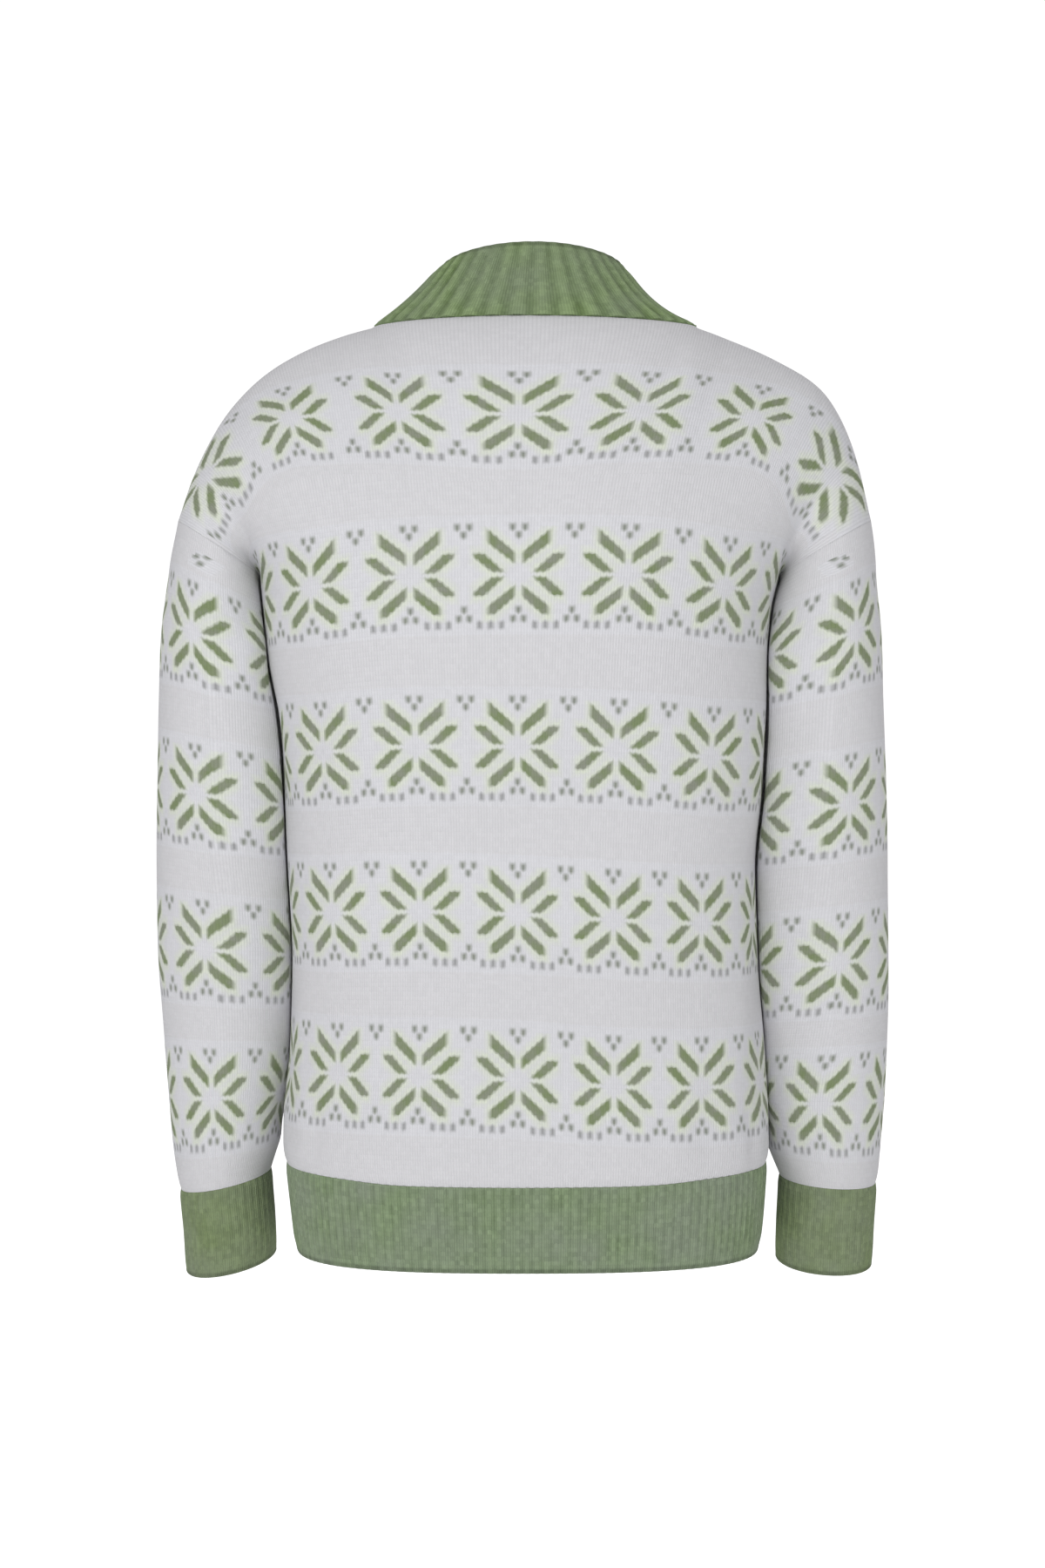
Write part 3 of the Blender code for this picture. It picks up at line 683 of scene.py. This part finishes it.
def panel_edges(points, out, top, repeat, half):
    """Turn a panel's edges into the planes of its seams and draw them back by half the gap."""
    points[0, :, 2] += SEAM / 2
    out[0] = unit(out[0] * (1, 1, 0))
    flat = np.array([1, 0, 1])
    for column in (0, -1):
        out[:LOW_ROWS, column] = unit(out[:LOW_ROWS, column] * flat)
        points[:LOW_ROWS, column, 1] += half * SEAM / 2
    shoulder = np.abs(repeat) >= NECK_REPEAT - 1e-6
    out[-1, shoulder] = unit(out[-1, shoulder] * flat)
    points[-1, shoulder, 1] += half * SEAM / 2
    at_neck = np.abs(repeat) <= NECK_REPEAT + 1e-6
    across, away = neck_place(repeat[at_neck], half)
    out[-1, at_neck] = neck_out(across, away)
    points[-1, at_neck] -= neck_up(across, away) * SEAM / 2
    for side, column in ((RIGHT, 0), (LEFT, -1)):
        length = line_length(top[:, column])
        angle = np.pi * (1 - length / length[-1])
        direction, into = armhole_frame(np.cos(angle), half * np.sin(angle), side)
        out[LOW_ROWS - 1:, column] = direction
        points[LOW_ROWS - 1:, column] -= into * SEAM / 2


def panel_stitches(repeat, along):
    """A panel's stitches, those of its shoulder band, and the cells that have the band's."""
    stars = zip(BODY_STARS, BODY_BANDS)
    middles = [curve(np.stack(star, -1), 1, repeat) for star in stars]
    row = band_rows(middles, np.minimum(along, ARMPIT_Z)) + np.maximum(along - ARMPIT_Z, 0) / ROW
    row = np.minimum(row, SHOULDER_ROW - BAND_HALF - 1)
    stitches = np.stack([body_stitches(repeat, row), row], -1)
    band = shoulder_stitches(repeat, along - ARMPIT_Z)
    middle = (band[:-1, :-1, 1] + band[1:, 1:, 1]) / 2
    use_band = (middle > SHOULDER_ROW - SHOULDER_ROWS_BELOW) & (along[:-1, :-1] > ARMPIT_Z)
    # past its last dots, the band goes on over the sleeve
    use_band &= (np.abs(repeat[:-1]) < LAST_DOTS) | (middle > SHOULDER_ROW + CAP_ROWS[1])
    return stitches, band, use_band


def make_panel(name, half):
    """The back or the front, from the hem seam to the neck and shoulders."""
    repeat = np.linspace(-HALF_PANEL, HALF_PANEL, PANEL_COLUMNS)
    heights = np.linspace(HEM_Z, ARMPIT_Z, LOW_ROWS)
    low = np.array([torso_row(z, repeat, half) for z in heights])
    swing = curve(HEM_SWING, 1, np.abs(repeat))
    down = (ARMPIT_Z - heights[:, None]) / (ARMPIT_Z - HEM_Z)
    swung = heights[:, None] + swing * down**3
    for column in range(PANEL_COLUMNS):
        for axis in (0, 1):
            low[:, column, axis] = np.interp(swung[:, column], heights, low[:, column, axis])
    low[..., 2] = swung
    top = yoke(repeat, np.linspace(0, 1, TOP_ROWS), half)
    points = np.concatenate([low, top[1:]])
    out = outward(points, False, -half)

    # height along the cloth, which goes on above the armpit as length
    climb = ARMPIT_Z + line_length(top)
    along = np.concatenate([low[..., 2], climb[1:]])
    to_top = climb[-1] - along
    at_neck = np.clip((NECK_REPEAT - np.abs(repeat)) / NECK_DIP_FADE, 0, 1)
    lift = overhang(along - HEM_Z - swing, BLOUSE) + seam_dip(to_top) * at_neck
    # creases fade out towards the seams, where the pieces meet
    to_side = (HALF_PANEL - np.abs(repeat)) * REPEAT_LENGTH
    calm = np.clip(to_side / SIDE_CALM, 0, 1) * np.clip(to_top / TOP_CALM, 0, 1)
    creases = BACK_CREASES if half == BACK else FRONT_CREASES
    dents = crease_depth(repeat, along, creases, REPEAT_LENGTH)
    lift = lift - dents * (calm**2 * (3 - 2 * calm))
    panel_edges(points, out, top, repeat, half)
    return make_knit(name, points, out, lift, False, *panel_stitches(repeat, along))


def sleeve_stitches(side, heights):
    """A sleeve's stitches, those of the shoulder band, whose lowest dots it carries on at its
    top, and the cells that have the band's."""
    around = np.arange(SLEEVE_COLUMNS + 1) / SLEEVE_COLUMNS
    bands = SLEEVE_BANDS[:, (0, 1) if side == LEFT else (2, 3)]
    star = curve(bands, 1, heights)
    stitch = (around[None, :] - star[:, None]) * SLEEVE_REPEATS * REPEAT
    row = band_rows(bands[:, 0], heights)[:, None]
    stitches = np.stack(np.broadcast_arrays(stitch, row), -1)

    drop = (SLEEVE_TOP - heights)[:, None]
    climb = np.abs(1 - 2 * around) * line_length(armhole(side, np.linspace(0, 0.5, 61)))[-1]
    star = side * (HALF_PANEL + drop / REPEAT_LENGTH) - side * CAP_SHIFT
    level = (climb - drop * CAP_SLANT - SHOULDER_BAND[0, 2]) / (ROW * CAP_ROW)
    band = np.stack(np.broadcast_arrays(shoulder_count(star), SHOULDER_ROW + level), -1)
    level = level[:-1, :-1]
    use_band = (level > CAP_ROWS[0]) & (level < CAP_ROWS[1])
    use_band &= (drop[:-1] < CAP_DEPTH) & (drop[:-1] > CAP_START)
    return stitches, band, use_band


def make_sleeve(name, side):
    turn = np.arange(SLEEVE_COLUMNS) / SLEEVE_COLUMNS
    below = np.linspace(SLEEVE_TOP - FIRST_RING, CUFF_Z, SLEEVE_ROWS - 1)
    heights = np.concatenate([[SLEEVE_TOP], below])
    points = sleeve_rows(side, heights, turn)
    out = outward(points, True, -side)
    out[0], into = armhole_frame(np.cos(2 * np.pi * turn), np.sin(2 * np.pi * turn), side)
    points[0] += into * SEAM / 2
    seam_end(points, out, -1)

    creases = LEFT_CREASES if side == LEFT else RIGHT_CREASES
    dents = crease_depth(turn, heights[:, None], creases, GIRTH, True)
    calm = np.clip((SLEEVE_TOP - heights) / SLEEVE_CALM, 0, 1)[:, None]
    # none where it rests against the body
    free = np.clip((np.abs(turn - 0.5) - REST_TURN) / REST_FADE, 0, 1)
    over = overhang(heights - CUFF_Z, SLEEVE_BLOUSE)[:, None]
    lift = over - dents * calm**2 * (3 - 2 * calm) * free
    return make_knit(name, points, out, lift, True, *sleeve_stitches(side, heights))


def make_ribbed(name, points, out, to_seam, to_rim, ribs, height, stitches_to_rib, material):
    """A ring of round ribs with narrower valleys, which flatten at its rim. Stitches are counted
    round it, and rows up to 0 at its rim."""
    columns = points.shape[1]
    steps = columns // ribs
    phase = 2 * np.pi * np.arange(columns) / steps
    rib = ((1 - np.cos(phase)) / 2) ** RIB_ROUNDNESS * height
    fade = 1 - RIM_FLATNESS * np.exp(-(to_rim / RIM_REACH) ** 2)
    dip = seam_dip(to_seam)
    lift = fade[:, None] * rib + dip
    length = line_length(points).mean(axis=1)
    row = (length - length[-1]) / ROW
    stitch = np.arange(columns + 1) / columns * ribs * stitches_to_rib
    stitches = np.stack(np.broadcast_arrays(stitch[None, :], row[:, None]), -1)
    outside = points + out * lift[..., None]
    inside = points - out * RIB_WALL + out * dip[..., None]
    rim = round_edge(outside, inside)
    return make_shell(name, outside, inside, stitches, (material, material), True, rim)


def make_cuff(name, side):
    turn = np.arange(CUFF_RIBS * CUFF_STEPS) / (CUFF_RIBS * CUFF_STEPS)
    heights = np.linspace(CUFF_Z, CUFF_END_Z, CUFF_ROWS)
    points = sleeve_rows(side, heights, turn)
    out = outward(points, True, -side)
    seam_end(points, out, 0)
    return make_ribbed(name, points, out, CUFF_Z - heights[:, None], heights - CUFF_END_Z,
                       CUFF_RIBS, CUFF_RAISE, HEM_STITCHES, CUFF_RIB)


def make_hem_band(name):
    count = HEM_RIBS * HEM_STEPS // 2
    repeat = np.linspace(-HALF_PANEL, HALF_PANEL, count + 1)[:-1]
    heights = np.linspace(HEM_Z, HEM_END_Z, HEM_ROWS)
    points = np.array([
        np.concatenate([torso_row(z, repeat, BACK), torso_row(z, -repeat, FRONT)]) for z in heights
    ])
    far = np.abs(np.concatenate([repeat, repeat]))
    share = np.linspace(0, 1, HEM_ROWS)[:, None]
    points[..., 2] += curve(HEM_SWING, 1, far) * (1 - share) + curve(HEM_SWING, 2, far) * share
    out = outward(points, True, 1)
    points[0, :, 2] -= SEAM / 2
    out[0] = unit(out[0] * (1, 1, 0))
    return make_ribbed(name, points, out, HEM_Z - heights[:, None], heights - HEM_END_Z,
                       HEM_RIBS, RIB_RAISE, HEM_STITCHES, HEM_RIB)


def make_collar(name):
    columns = COLLAR_RIBS * COLLAR_STEPS
    angle = 2 * np.pi * np.arange(columns) / columns
    across = np.cos(angle)
    away = np.sin(angle)
    low = neck_seam(across, away)
    seam_out = neck_out(across, away)
    high = collar_edge(across, away)
    hollow = COLLAR_HOLLOW + COLLAR_RIGHT_HOLLOW * np.clip(-across, 0, 1)**2
    bend = (low + high) / 2 - seam_out * hollow[:, None]
    rise = np.linspace(0, 1, COLLAR_ROWS)[:, None, None]
    points = (1 - rise)**2 * low + 2 * (1 - rise) * rise * bend + rise**2 * high
    out = outward(points, True, 1)
    out[0] = seam_out
    points[0] += neck_up(across, away) * SEAM / 2
    length = line_length(points)
    to_rim = (length[-1] - length).mean(axis=1)
    return make_ribbed(name, points, out, length, to_rim, COLLAR_RIBS, COLLAR_RAISE,
                       COLLAR_STITCHES, COLLAR_RIB)


# ---- materials

PALE = (0.650, 0.645, 0.668)
PALE_BAND = (0.668, 0.668, 0.700)
PALE_SHADE = (0.600, 0.595, 0.612)
TINT = (0.662, 0.700, 0.585)
PETAL = (0.205, 0.255, 0.132)
PETAL_GREY = (0.255, 0.272, 0.218)
DOT = (0.245, 0.265, 0.232)
ROW_DOT = (0.325, 0.328, 0.335)

STEP_SOFTNESS = 0.86  # how far an edge follows the smooth places, not whole stitches
EDGE_STEEPNESS = 1.25
LEG_LIFT = 0.22  # rows that a stitch's two legs rise from its middle to its sides
END_DROP = 0.45  # how much lower a stitch is where it meets the next row's

# In stitches and rows from a star's middle.
# Petals: slope of the middle line, its start, widening, half width, middle and half length
UPRIGHT = (1.07, 2.95, 0.06, 1.22, 2.85, 2.20)
SIDEWAYS = (0.86, 2.92, 0.05, 1.00, 2.6, 2.05)
WIDEST_PETAL = 7.45  # stitches out to the blunt ends of the side petals
LOWEST_PETAL = 8.7  # rows down to the ends of the lower petals
# The halo is the lowest of three slopes, each with its start: from the petal's line, x and y
UPRIGHT_HALO = ((-0.45, 1.70), (-0.9, 5.7), (-0.8, 8.6))
SIDE_HALO = ((-0.45, 1.60), (-0.7, 5.9), (-0.6, 4.0))
# Dots: stitches across and rows up, and their half width and half height
DOTS = ((0, 8.7), (1, 10.4), (0, -7.6), (0.87, -9.55))
DOT_REACH = 0.44
DOT_HEIGHT = 0.75
# The lowest row's: rows up, half height, stitches between two, middle and half length of the row
ROW_DOTS = (-10.95, 0.85, 1.84, 4.6, 2.4)


class Signal:
    """A number that varies over the cloth. Arithmetic on it adds Math nodes to its material."""

    def __init__(self, tree, socket):
        self.tree = tree
        self.socket = socket

    def math(self, operation, *others):
        node = self.tree.nodes.new("ShaderNodeMath")
        node.operation = operation
        for place, value in zip(node.inputs, (self,) + others):
            if isinstance(value, Signal):
                self.tree.links.new(value.socket, place)
            else:
                place.default_value = value
        return Signal(self.tree, node.outputs[0])

    __add__ = partialmethod(math, "ADD")
    __sub__ = partialmethod(math, "SUBTRACT")
    __mul__ = partialmethod(math, "MULTIPLY")
    __abs__ = partialmethod(math, "ABSOLUTE")
    below = partialmethod(math, "LESS_THAN")
    above = partialmethod(math, "GREATER_THAN")
    either = partialmethod(math, "MAXIMUM")
    at_most = partialmethod(math, "MINIMUM")

    def near(self, value, reach):
        """1 within reach of value, or else 0."""
        return abs(self - value).below(reach)

    def clamped(self, low, high):
        return self.either(low).at_most(high)

    def wrapped(self, period):
        """The distance from the nearest multiple of a period."""
        return self - self.math("DIVIDE", period).math("ROUND") * period


def new_knit(name):
    """A material, its tree and shader, and the stitch and row at each place, from the UV map."""
    material = bpy.data.materials.new(name)
    material.use_nodes = True
    tree = material.node_tree
    shader = tree.nodes["Principled BSDF"]
    shader.inputs["Roughness"].default_value = 0.95
    shader.inputs["Specular IOR Level"].default_value = 0.15
    shader.inputs["Sheen Weight"].default_value = 0.06
    shader.inputs["Sheen Roughness"].default_value = 0.6
    uv = tree.nodes.new("ShaderNodeUVMap")
    uv.uv_map = "Stitches"
    parts = tree.nodes.new("ShaderNodeSeparateXYZ")
    tree.links.new(uv.outputs[0], parts.inputs[0])
    return material, tree, shader, Signal(tree, parts.outputs[0]), Signal(tree, parts.outputs[1])


def joined(*signals):
    """Signals as a vector's socket."""
    tree = signals[0].tree
    node = tree.nodes.new("ShaderNodeCombineXYZ")
    for signal, place in zip(signals, node.inputs):
        tree.links.new(signal.socket, place)
    return node.outputs[0]


def noise(tree, scale, detail=2.0, place=None):
    """Soft noise from 0 to 1 over the piece, or over a vector's socket."""
    node = tree.nodes.new("ShaderNodeTexNoise")
    node.inputs["Scale"].default_value = scale
    node.inputs["Detail"].default_value = detail
    place = place or tree.nodes.new("ShaderNodeTexCoord").outputs["Object"]
    tree.links.new(place, node.inputs["Vector"])
    return Signal(tree, node.outputs["Fac"])


def each_stitch(column, row):
    """A random number from 0 to 1 for each stitch."""
    tree = column.tree
    node = tree.nodes.new("ShaderNodeTexWhiteNoise")
    node.noise_dimensions = "2D"
    tree.links.new(joined(column, row), node.inputs["Vector"])
    return Signal(tree, node.outputs["Value"])


def blend(low, high, amount):
    """Two colours, or sockets of colours, mixed by a signal."""
    tree = amount.tree
    node = tree.nodes.new("ShaderNodeMix")
    node.data_type = "RGBA"
    for value, place in ((low, node.inputs[6]), (high, node.inputs[7])):
        if isinstance(value, tuple):
            place.default_value = (*value, 1)
        else:
            tree.links.new(value, place)
    tree.links.new(amount.socket, node.inputs[0])
    return node.outputs[2]


def knit_stitch(stitch, row):
    """Column and row number of each stitch, its relief, and the continuous row its legs follow."""
    column = (stitch + 0.5).math("FLOOR")
    side = abs(stitch - column) * 2
    leaning = row - side * LEG_LIFT + LEG_LIFT / 2
    number = leaning.math("ROUND")
    across = abs(side - 0.5) * 2
    leg = (across * across) * -1 + 1
    up = abs(leaning - number) * 2
    loop = (up * up * up) * -END_DROP + 1
    return column, number, leg * loop, leaning


def finish_knit(shader, colour, tone_and_painted_shade, height, strength, depth=0.0007):
    """Give a material its colour, scaled by a tone that holds painted shade, and the relief of its
    stitches.
    """
    tree = tone_and_painted_shade.tree
    scaled = tree.nodes.new("ShaderNodeVectorMath")
    scaled.operation = "SCALE"
    tree.links.new(colour, scaled.inputs[0])
    tree.links.new(tone_and_painted_shade.socket, scaled.inputs["Scale"])
    tree.links.new(scaled.outputs[0], shader.inputs["Base Color"])
    bump = tree.nodes.new("ShaderNodeBump")
    bump.inputs["Strength"].default_value = strength
    bump.inputs["Distance"].default_value = depth
    tree.links.new(height.socket, bump.inputs["Height"])
    tree.links.new(bump.outputs["Normal"], shader.inputs["Normal"])


def soft(distance, reach):
    """1 within reach, 0 outside it, with a narrow soft edge like a yarn's own."""
    return ((distance - reach) * -EDGE_STEEPNESS + 0.5).clamped(0.0, 1.0)


def petal(out, along, shape):
    """The distance from a petal's sloping middle line, less its widening, and the petal."""
    slope, start, widening, half_width, middle, half_length = shape
    line = abs(out - along * slope - start) - along * widening
    return line, soft(line, half_width) * soft(abs(along - middle), half_length)


def lowest(signals, slopes):
    lines = [signal * slope + start for signal, (slope, start) in zip(signals, slopes)]
    return reduce(Signal.at_most, lines)


def star_masks(stitch, column, number, leaning):
    """The star band: petals, a halo of mixed stitches close round them, and two sizes of dots."""
    band = (number * (1 / BAND_ROWS)).math("ROUND").clamped(0, 4) * BAND_ROWS
    at_shoulder = band.above(3.5 * BAND_ROWS)
    wide = abs(column).near((WIDE_FROM + WIDE_TO) / 2, (WIDE_TO - WIDE_FROM) / 2) * at_shoulder
    past = abs(column).above(WIDE_TO - 0.5) * at_shoulder
    shift = wide * WIDE_SHIFT + past * PAST_SHIFT
    period = wide * (WIDE_REPEAT - REPEAT) + REPEAT
    # between whole stitches and the smooth places, as the yarns fill each other's corners
    between = abs(column + (stitch - column) * STEP_SOFTNESS) + shift
    x = abs(between.wrapped(period))
    y = abs(number + (leaning - number) * STEP_SOFTNESS - band)
    level = leaning - band
    # upper and lower petals, four to a star, rise a row for each stitch outwards, and the side
    # petals go out by less than a stitch for each row
    upright_line, upright = petal(y, x, UPRIGHT)
    side_line, sideways = petal(x, y, SIDEWAYS)
    upright = upright * soft(level * -1, LOWEST_PETAL)
    sideways = sideways * soft(x, WIDEST_PETAL)
    kept = (abs(column).above(LAST_PETAL) * at_shoulder) * -1 + 1
    petals = upright.either(sideways) * kept
    beside = lowest((upright_line, x, y), UPRIGHT_HALO)
    above_side = lowest((side_line, x, y), SIDE_HALO)
    from_middle = ((x + y) * 0.5 - 1.0).clamped(0.0, 1.0)
    halo = beside.either(above_side).clamped(0.0, 1.0) * from_middle * kept
    # dots at each star and half way: two over one above, one over two below
    counted = abs(stitch) + shift
    far = abs(counted.wrapped(period * 0.5))
    dots = reduce(Signal.either, [
        soft(abs(far - across), DOT_REACH) * soft(abs(level - up), DOT_HEIGHT) for across, up in DOTS
    ])
    up, height, step, middle, reach = ROW_DOTS
    along = abs(counted.wrapped(period))
    row_dots = soft(abs((along - step / 2).wrapped(step)), DOT_REACH)
    row_dots = row_dots * along.near(middle, reach) * soft(abs(level - up), height)
    return petals, halo, dots, row_dots, y


def make_pale_knit():
    material, tree, shader, stitch, row = new_knit("pale_knit_stars")
    column, number, relief, leaning = knit_stitch(stitch, row)
    petals, halo, dots, row_dots, from_middle = star_masks(stitch, column, number, leaning)
    chance = each_stitch(column, number)
    cloud = noise(tree, scale=9.0)
    fibre = noise(tree, scale=1400.0, detail=3.0)
    in_band = from_middle.below(BAND_HALF)
    ground = blend(PALE, PALE_BAND, in_band)
    ground = blend(ground, PALE_SHADE, (cloud - 0.35) * 0.55)
    ground = blend(ground, TINT, halo * (chance * 0.25 + 0.65))
    patch = noise(tree, scale=85.0)
    greyer = ((patch - 0.5) * 2.6 + cloud * 0.5 + chance * 0.4).clamped(0.0, 1.0)
    green = blend(PETAL, PETAL_GREY, greyer)
    small = blend(DOT, PETAL_GREY, chance * 0.5)
    colour = blend(ground, ROW_DOT, row_dots)
    colour = blend(colour, small, dots)
    colour = blend(colour, green, petals)
    # the tone darkens the stitches' low parts by their relief, which is painted shade, and varies at
    # random by stitch and fibre
    tone_and_painted_shade = relief * 0.07 + 0.955 + (chance - 0.5) * 0.04 + (fibre - 0.5) * 0.08
    finish_knit(shader, colour, tone_and_painted_shade, relief + fibre * 0.25, strength=0.45)
    return material


def make_pale_reverse():
    """The reverse: rows of purl bumps, with green floats across the star bands."""
    material, tree, shader, stitch, row = new_knit("pale_knit_reverse")
    relief = knit_stitch(stitch, row * 2)[2]
    float_chance = noise(tree, scale=1.0, place=joined(stitch * 0.25, row * 1.6))
    in_band = abs(row.wrapped(BAND_ROWS)).below(BAND_HALF - 2)
    fibre = noise(tree, scale=1400.0, detail=3.0)
    floats = in_band * float_chance.above(0.54)
    colour = blend(PALE_SHADE, PETAL_GREY, floats * 0.8)
    # the tone darkens the purl bumps' low parts by their relief, which is painted shade, and varies at
    # random by fibre
    tone_and_painted_shade = relief * 0.12 + 0.86 + (fibre - 0.5) * 0.12
    finish_knit(shader, colour, tone_and_painted_shade, relief + fibre * 0.25, strength=0.5)
    return material


def make_rib(name, light, dark, grey, stitches_to_rib, valley_shade_contrast, grain):
    """Ribbed knit: heathered in two greens, with painted shade in the valleys and a painted dark line
    of shade along the rim.
    """
    material, tree, shader, stitch, row = new_knit(name)
    column, number, relief = knit_stitch(stitch, row)[:3]
    chance = each_stitch(column, number)
    patch = noise(tree, grain, detail=3.0)
    cloud = noise(tree, scale=28.0, detail=3.0)
    streak = noise(tree, 1.0, detail=3.0, place=joined(stitch * 1.1, row * 0.22))
    fibre = noise(tree, scale=1300.0, detail=3.0)
    # painted shade: the colour goes from the dark green in the rib valleys to the light one on the rib
    # tops, mixed with random heather streaks and patches
    valley_shade_falloff = (abs((stitch * (1 / stitches_to_rib)).wrapped(1.0)) * 2).math("POWER", 0.7)
    mix = (valley_shade_falloff - 0.55) * valley_shade_contrast + 0.5 + (streak - 0.5) * 1.1 + (patch - 0.5) * 1.2
    colour = blend(dark, light, mix.clamped(0.0, 1.0))
    colour = blend(colour, grey, ((cloud - 0.5) * 2.4 + 0.35).clamped(0.0, 0.8))
    # painted shade: the last row at the rim is darker, standing in for the shade of the turned edge
    rim = (row * 1.6 + 1.5).clamped(0.0, 1.0)
    # the tone also darkens the stitches' low parts by their relief, which is painted shade, and varies
    # at random by stitch and fibre
    tone_and_painted_shade = relief * 0.14 + 0.92 + (chance - 0.5) * 0.20 + (fibre - 0.5) * 0.20 - rim * 0.32
    finish_knit(shader, colour, tone_and_painted_shade, relief + fibre * 0.3, strength=0.5, depth=0.0008)
    return material


PALE_KNIT = make_pale_knit()
PALE_REVERSE = make_pale_reverse()
COLLAR_RIB = make_rib("sage_rib_collar", (0.232, 0.315, 0.150), (0.135, 0.195, 0.080),
                      (0.198, 0.245, 0.160), COLLAR_STITCHES, valley_shade_contrast=1.7, grain=110.0)
HEM_RIB = make_rib("sage_rib_hem", (0.246, 0.320, 0.190), (0.168, 0.226, 0.126),
                   (0.232, 0.275, 0.205), HEM_STITCHES, valley_shade_contrast=0.65, grain=180.0)
CUFF_RIB = make_rib("sage_rib_cuff", (0.230, 0.296, 0.148), (0.150, 0.198, 0.092),
                    (0.212, 0.252, 0.170), HEM_STITCHES, valley_shade_contrast=0.2, grain=130.0)

# ---- the pieces

pieces = {
    "back": make_panel("knit_back", BACK),
    "front": make_panel("knit_front", FRONT),
    "sleeve_left": make_sleeve("knit_sleeve_left", LEFT),
    "sleeve_right": make_sleeve("knit_sleeve_right", RIGHT),
    "cuff_left": make_cuff("rib_cuff_left", LEFT),
    "cuff_right": make_cuff("rib_cuff_right", RIGHT),
    "hem_band": make_hem_band("rib_hem_band"),
    "collar": make_collar("rib_collar"),
}
for node, piece in pieces.items():
    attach(piece, "root")
    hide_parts(node)

# ---- floor, light and camera

FLOOR_Z = -1.60
FLOOR_REACH = 12.0
CAMERA_AT = (0.0, 1.90, -0.342)
CAMERA_AIM = (0.0, 0.0, -0.318)
CAMERA_LENS = 62.7
STUDIO_WHITE = (1.0, 1.0, 1.0, 1.0)
# Lamps: name, place, aim, size and power
LAMPS = (
    ("key", (0.85, 2.3, 0.85), (0, 0, -0.35), 1.6, 22.0),
    ("near_camera", (0.15, 2.7, -0.15), (0, 0, -0.35), 0.7, 7.0),
    ("fill", (-1.5, 2.3, 0.9), (0, 0, -0.2), 1.6, 5.5),
    ("front_fill", (-0.8, -2.8, 0.6), (0, 0, -0.35), 1.8, 16.0),
)


def seen_and_cast(tree, seen, cast):
    """A strength that is higher where a surface is seen than in the light that it casts."""
    path = tree.nodes.new("ShaderNodeLightPath")
    strength = tree.nodes.new("ShaderNodeMapRange")
    strength.inputs["To Min"].default_value = cast
    strength.inputs["To Max"].default_value = seen
    tree.links.new(path.outputs["Is Camera Ray"], strength.inputs["Value"])
    return strength.outputs[0]


def make_floor():
    mesh = bpy.data.meshes.new("floor")
    signs = ((-1, -1), (1, -1), (1, 1), (-1, 1))
    mesh.from_pydata([(x * FLOOR_REACH, y * FLOOR_REACH, FLOOR_Z) for x, y in signs], [], [range(4)])
    material = bpy.data.materials.new("floor")
    material.use_nodes = True
    tree = material.node_tree
    shader = tree.nodes["Principled BSDF"]
    shader.inputs["Base Color"].default_value = (0.93, 0.93, 0.93, 1)
    shader.inputs["Roughness"].default_value = 0.9
    shader.inputs["Emission Color"].default_value = STUDIO_WHITE
    strength = seen_and_cast(tree, seen=0.80, cast=0.25)
    tree.links.new(strength, shader.inputs["Emission Strength"])
    mesh.materials.append(material)
    add_object("floor", mesh)


def aimed(name, data, at, aim):
    """A lamp or camera at a place, turned towards another."""
    thing = add_object(name, data)
    thing.location = at
    thing.rotation_euler = (Vector(aim) - Vector(at)).to_track_quat("-Z", "Y").to_euler()
    return thing


def make_lamp(name, at, aim, size, power):
    lamp = bpy.data.lights.new(name, "AREA")
    lamp.shape = "DISK"
    lamp.size = size
    lamp.energy = power
    aimed(name, lamp, at, aim)


def make_world():
    """Even studio light, with a white background behind the garment."""
    world = bpy.data.worlds.new("studio")
    world.use_nodes = True
    tree = world.node_tree
    background = tree.nodes["Background"]
    background.inputs["Color"].default_value = STUDIO_WHITE
    tree.links.new(seen_and_cast(tree, seen=1.05, cast=0.50), background.inputs["Strength"])
    bpy.context.scene.world = world


def make_camera():
    data = bpy.data.cameras.new("camera")
    data.lens = CAMERA_LENS
    bpy.context.scene.camera = aimed("camera", data, CAMERA_AT, CAMERA_AIM)


make_floor()
make_world()
for lamp in LAMPS:
    make_lamp(*lamp)
make_camera()
bpy.context.scene.view_settings.view_transform = "Standard"
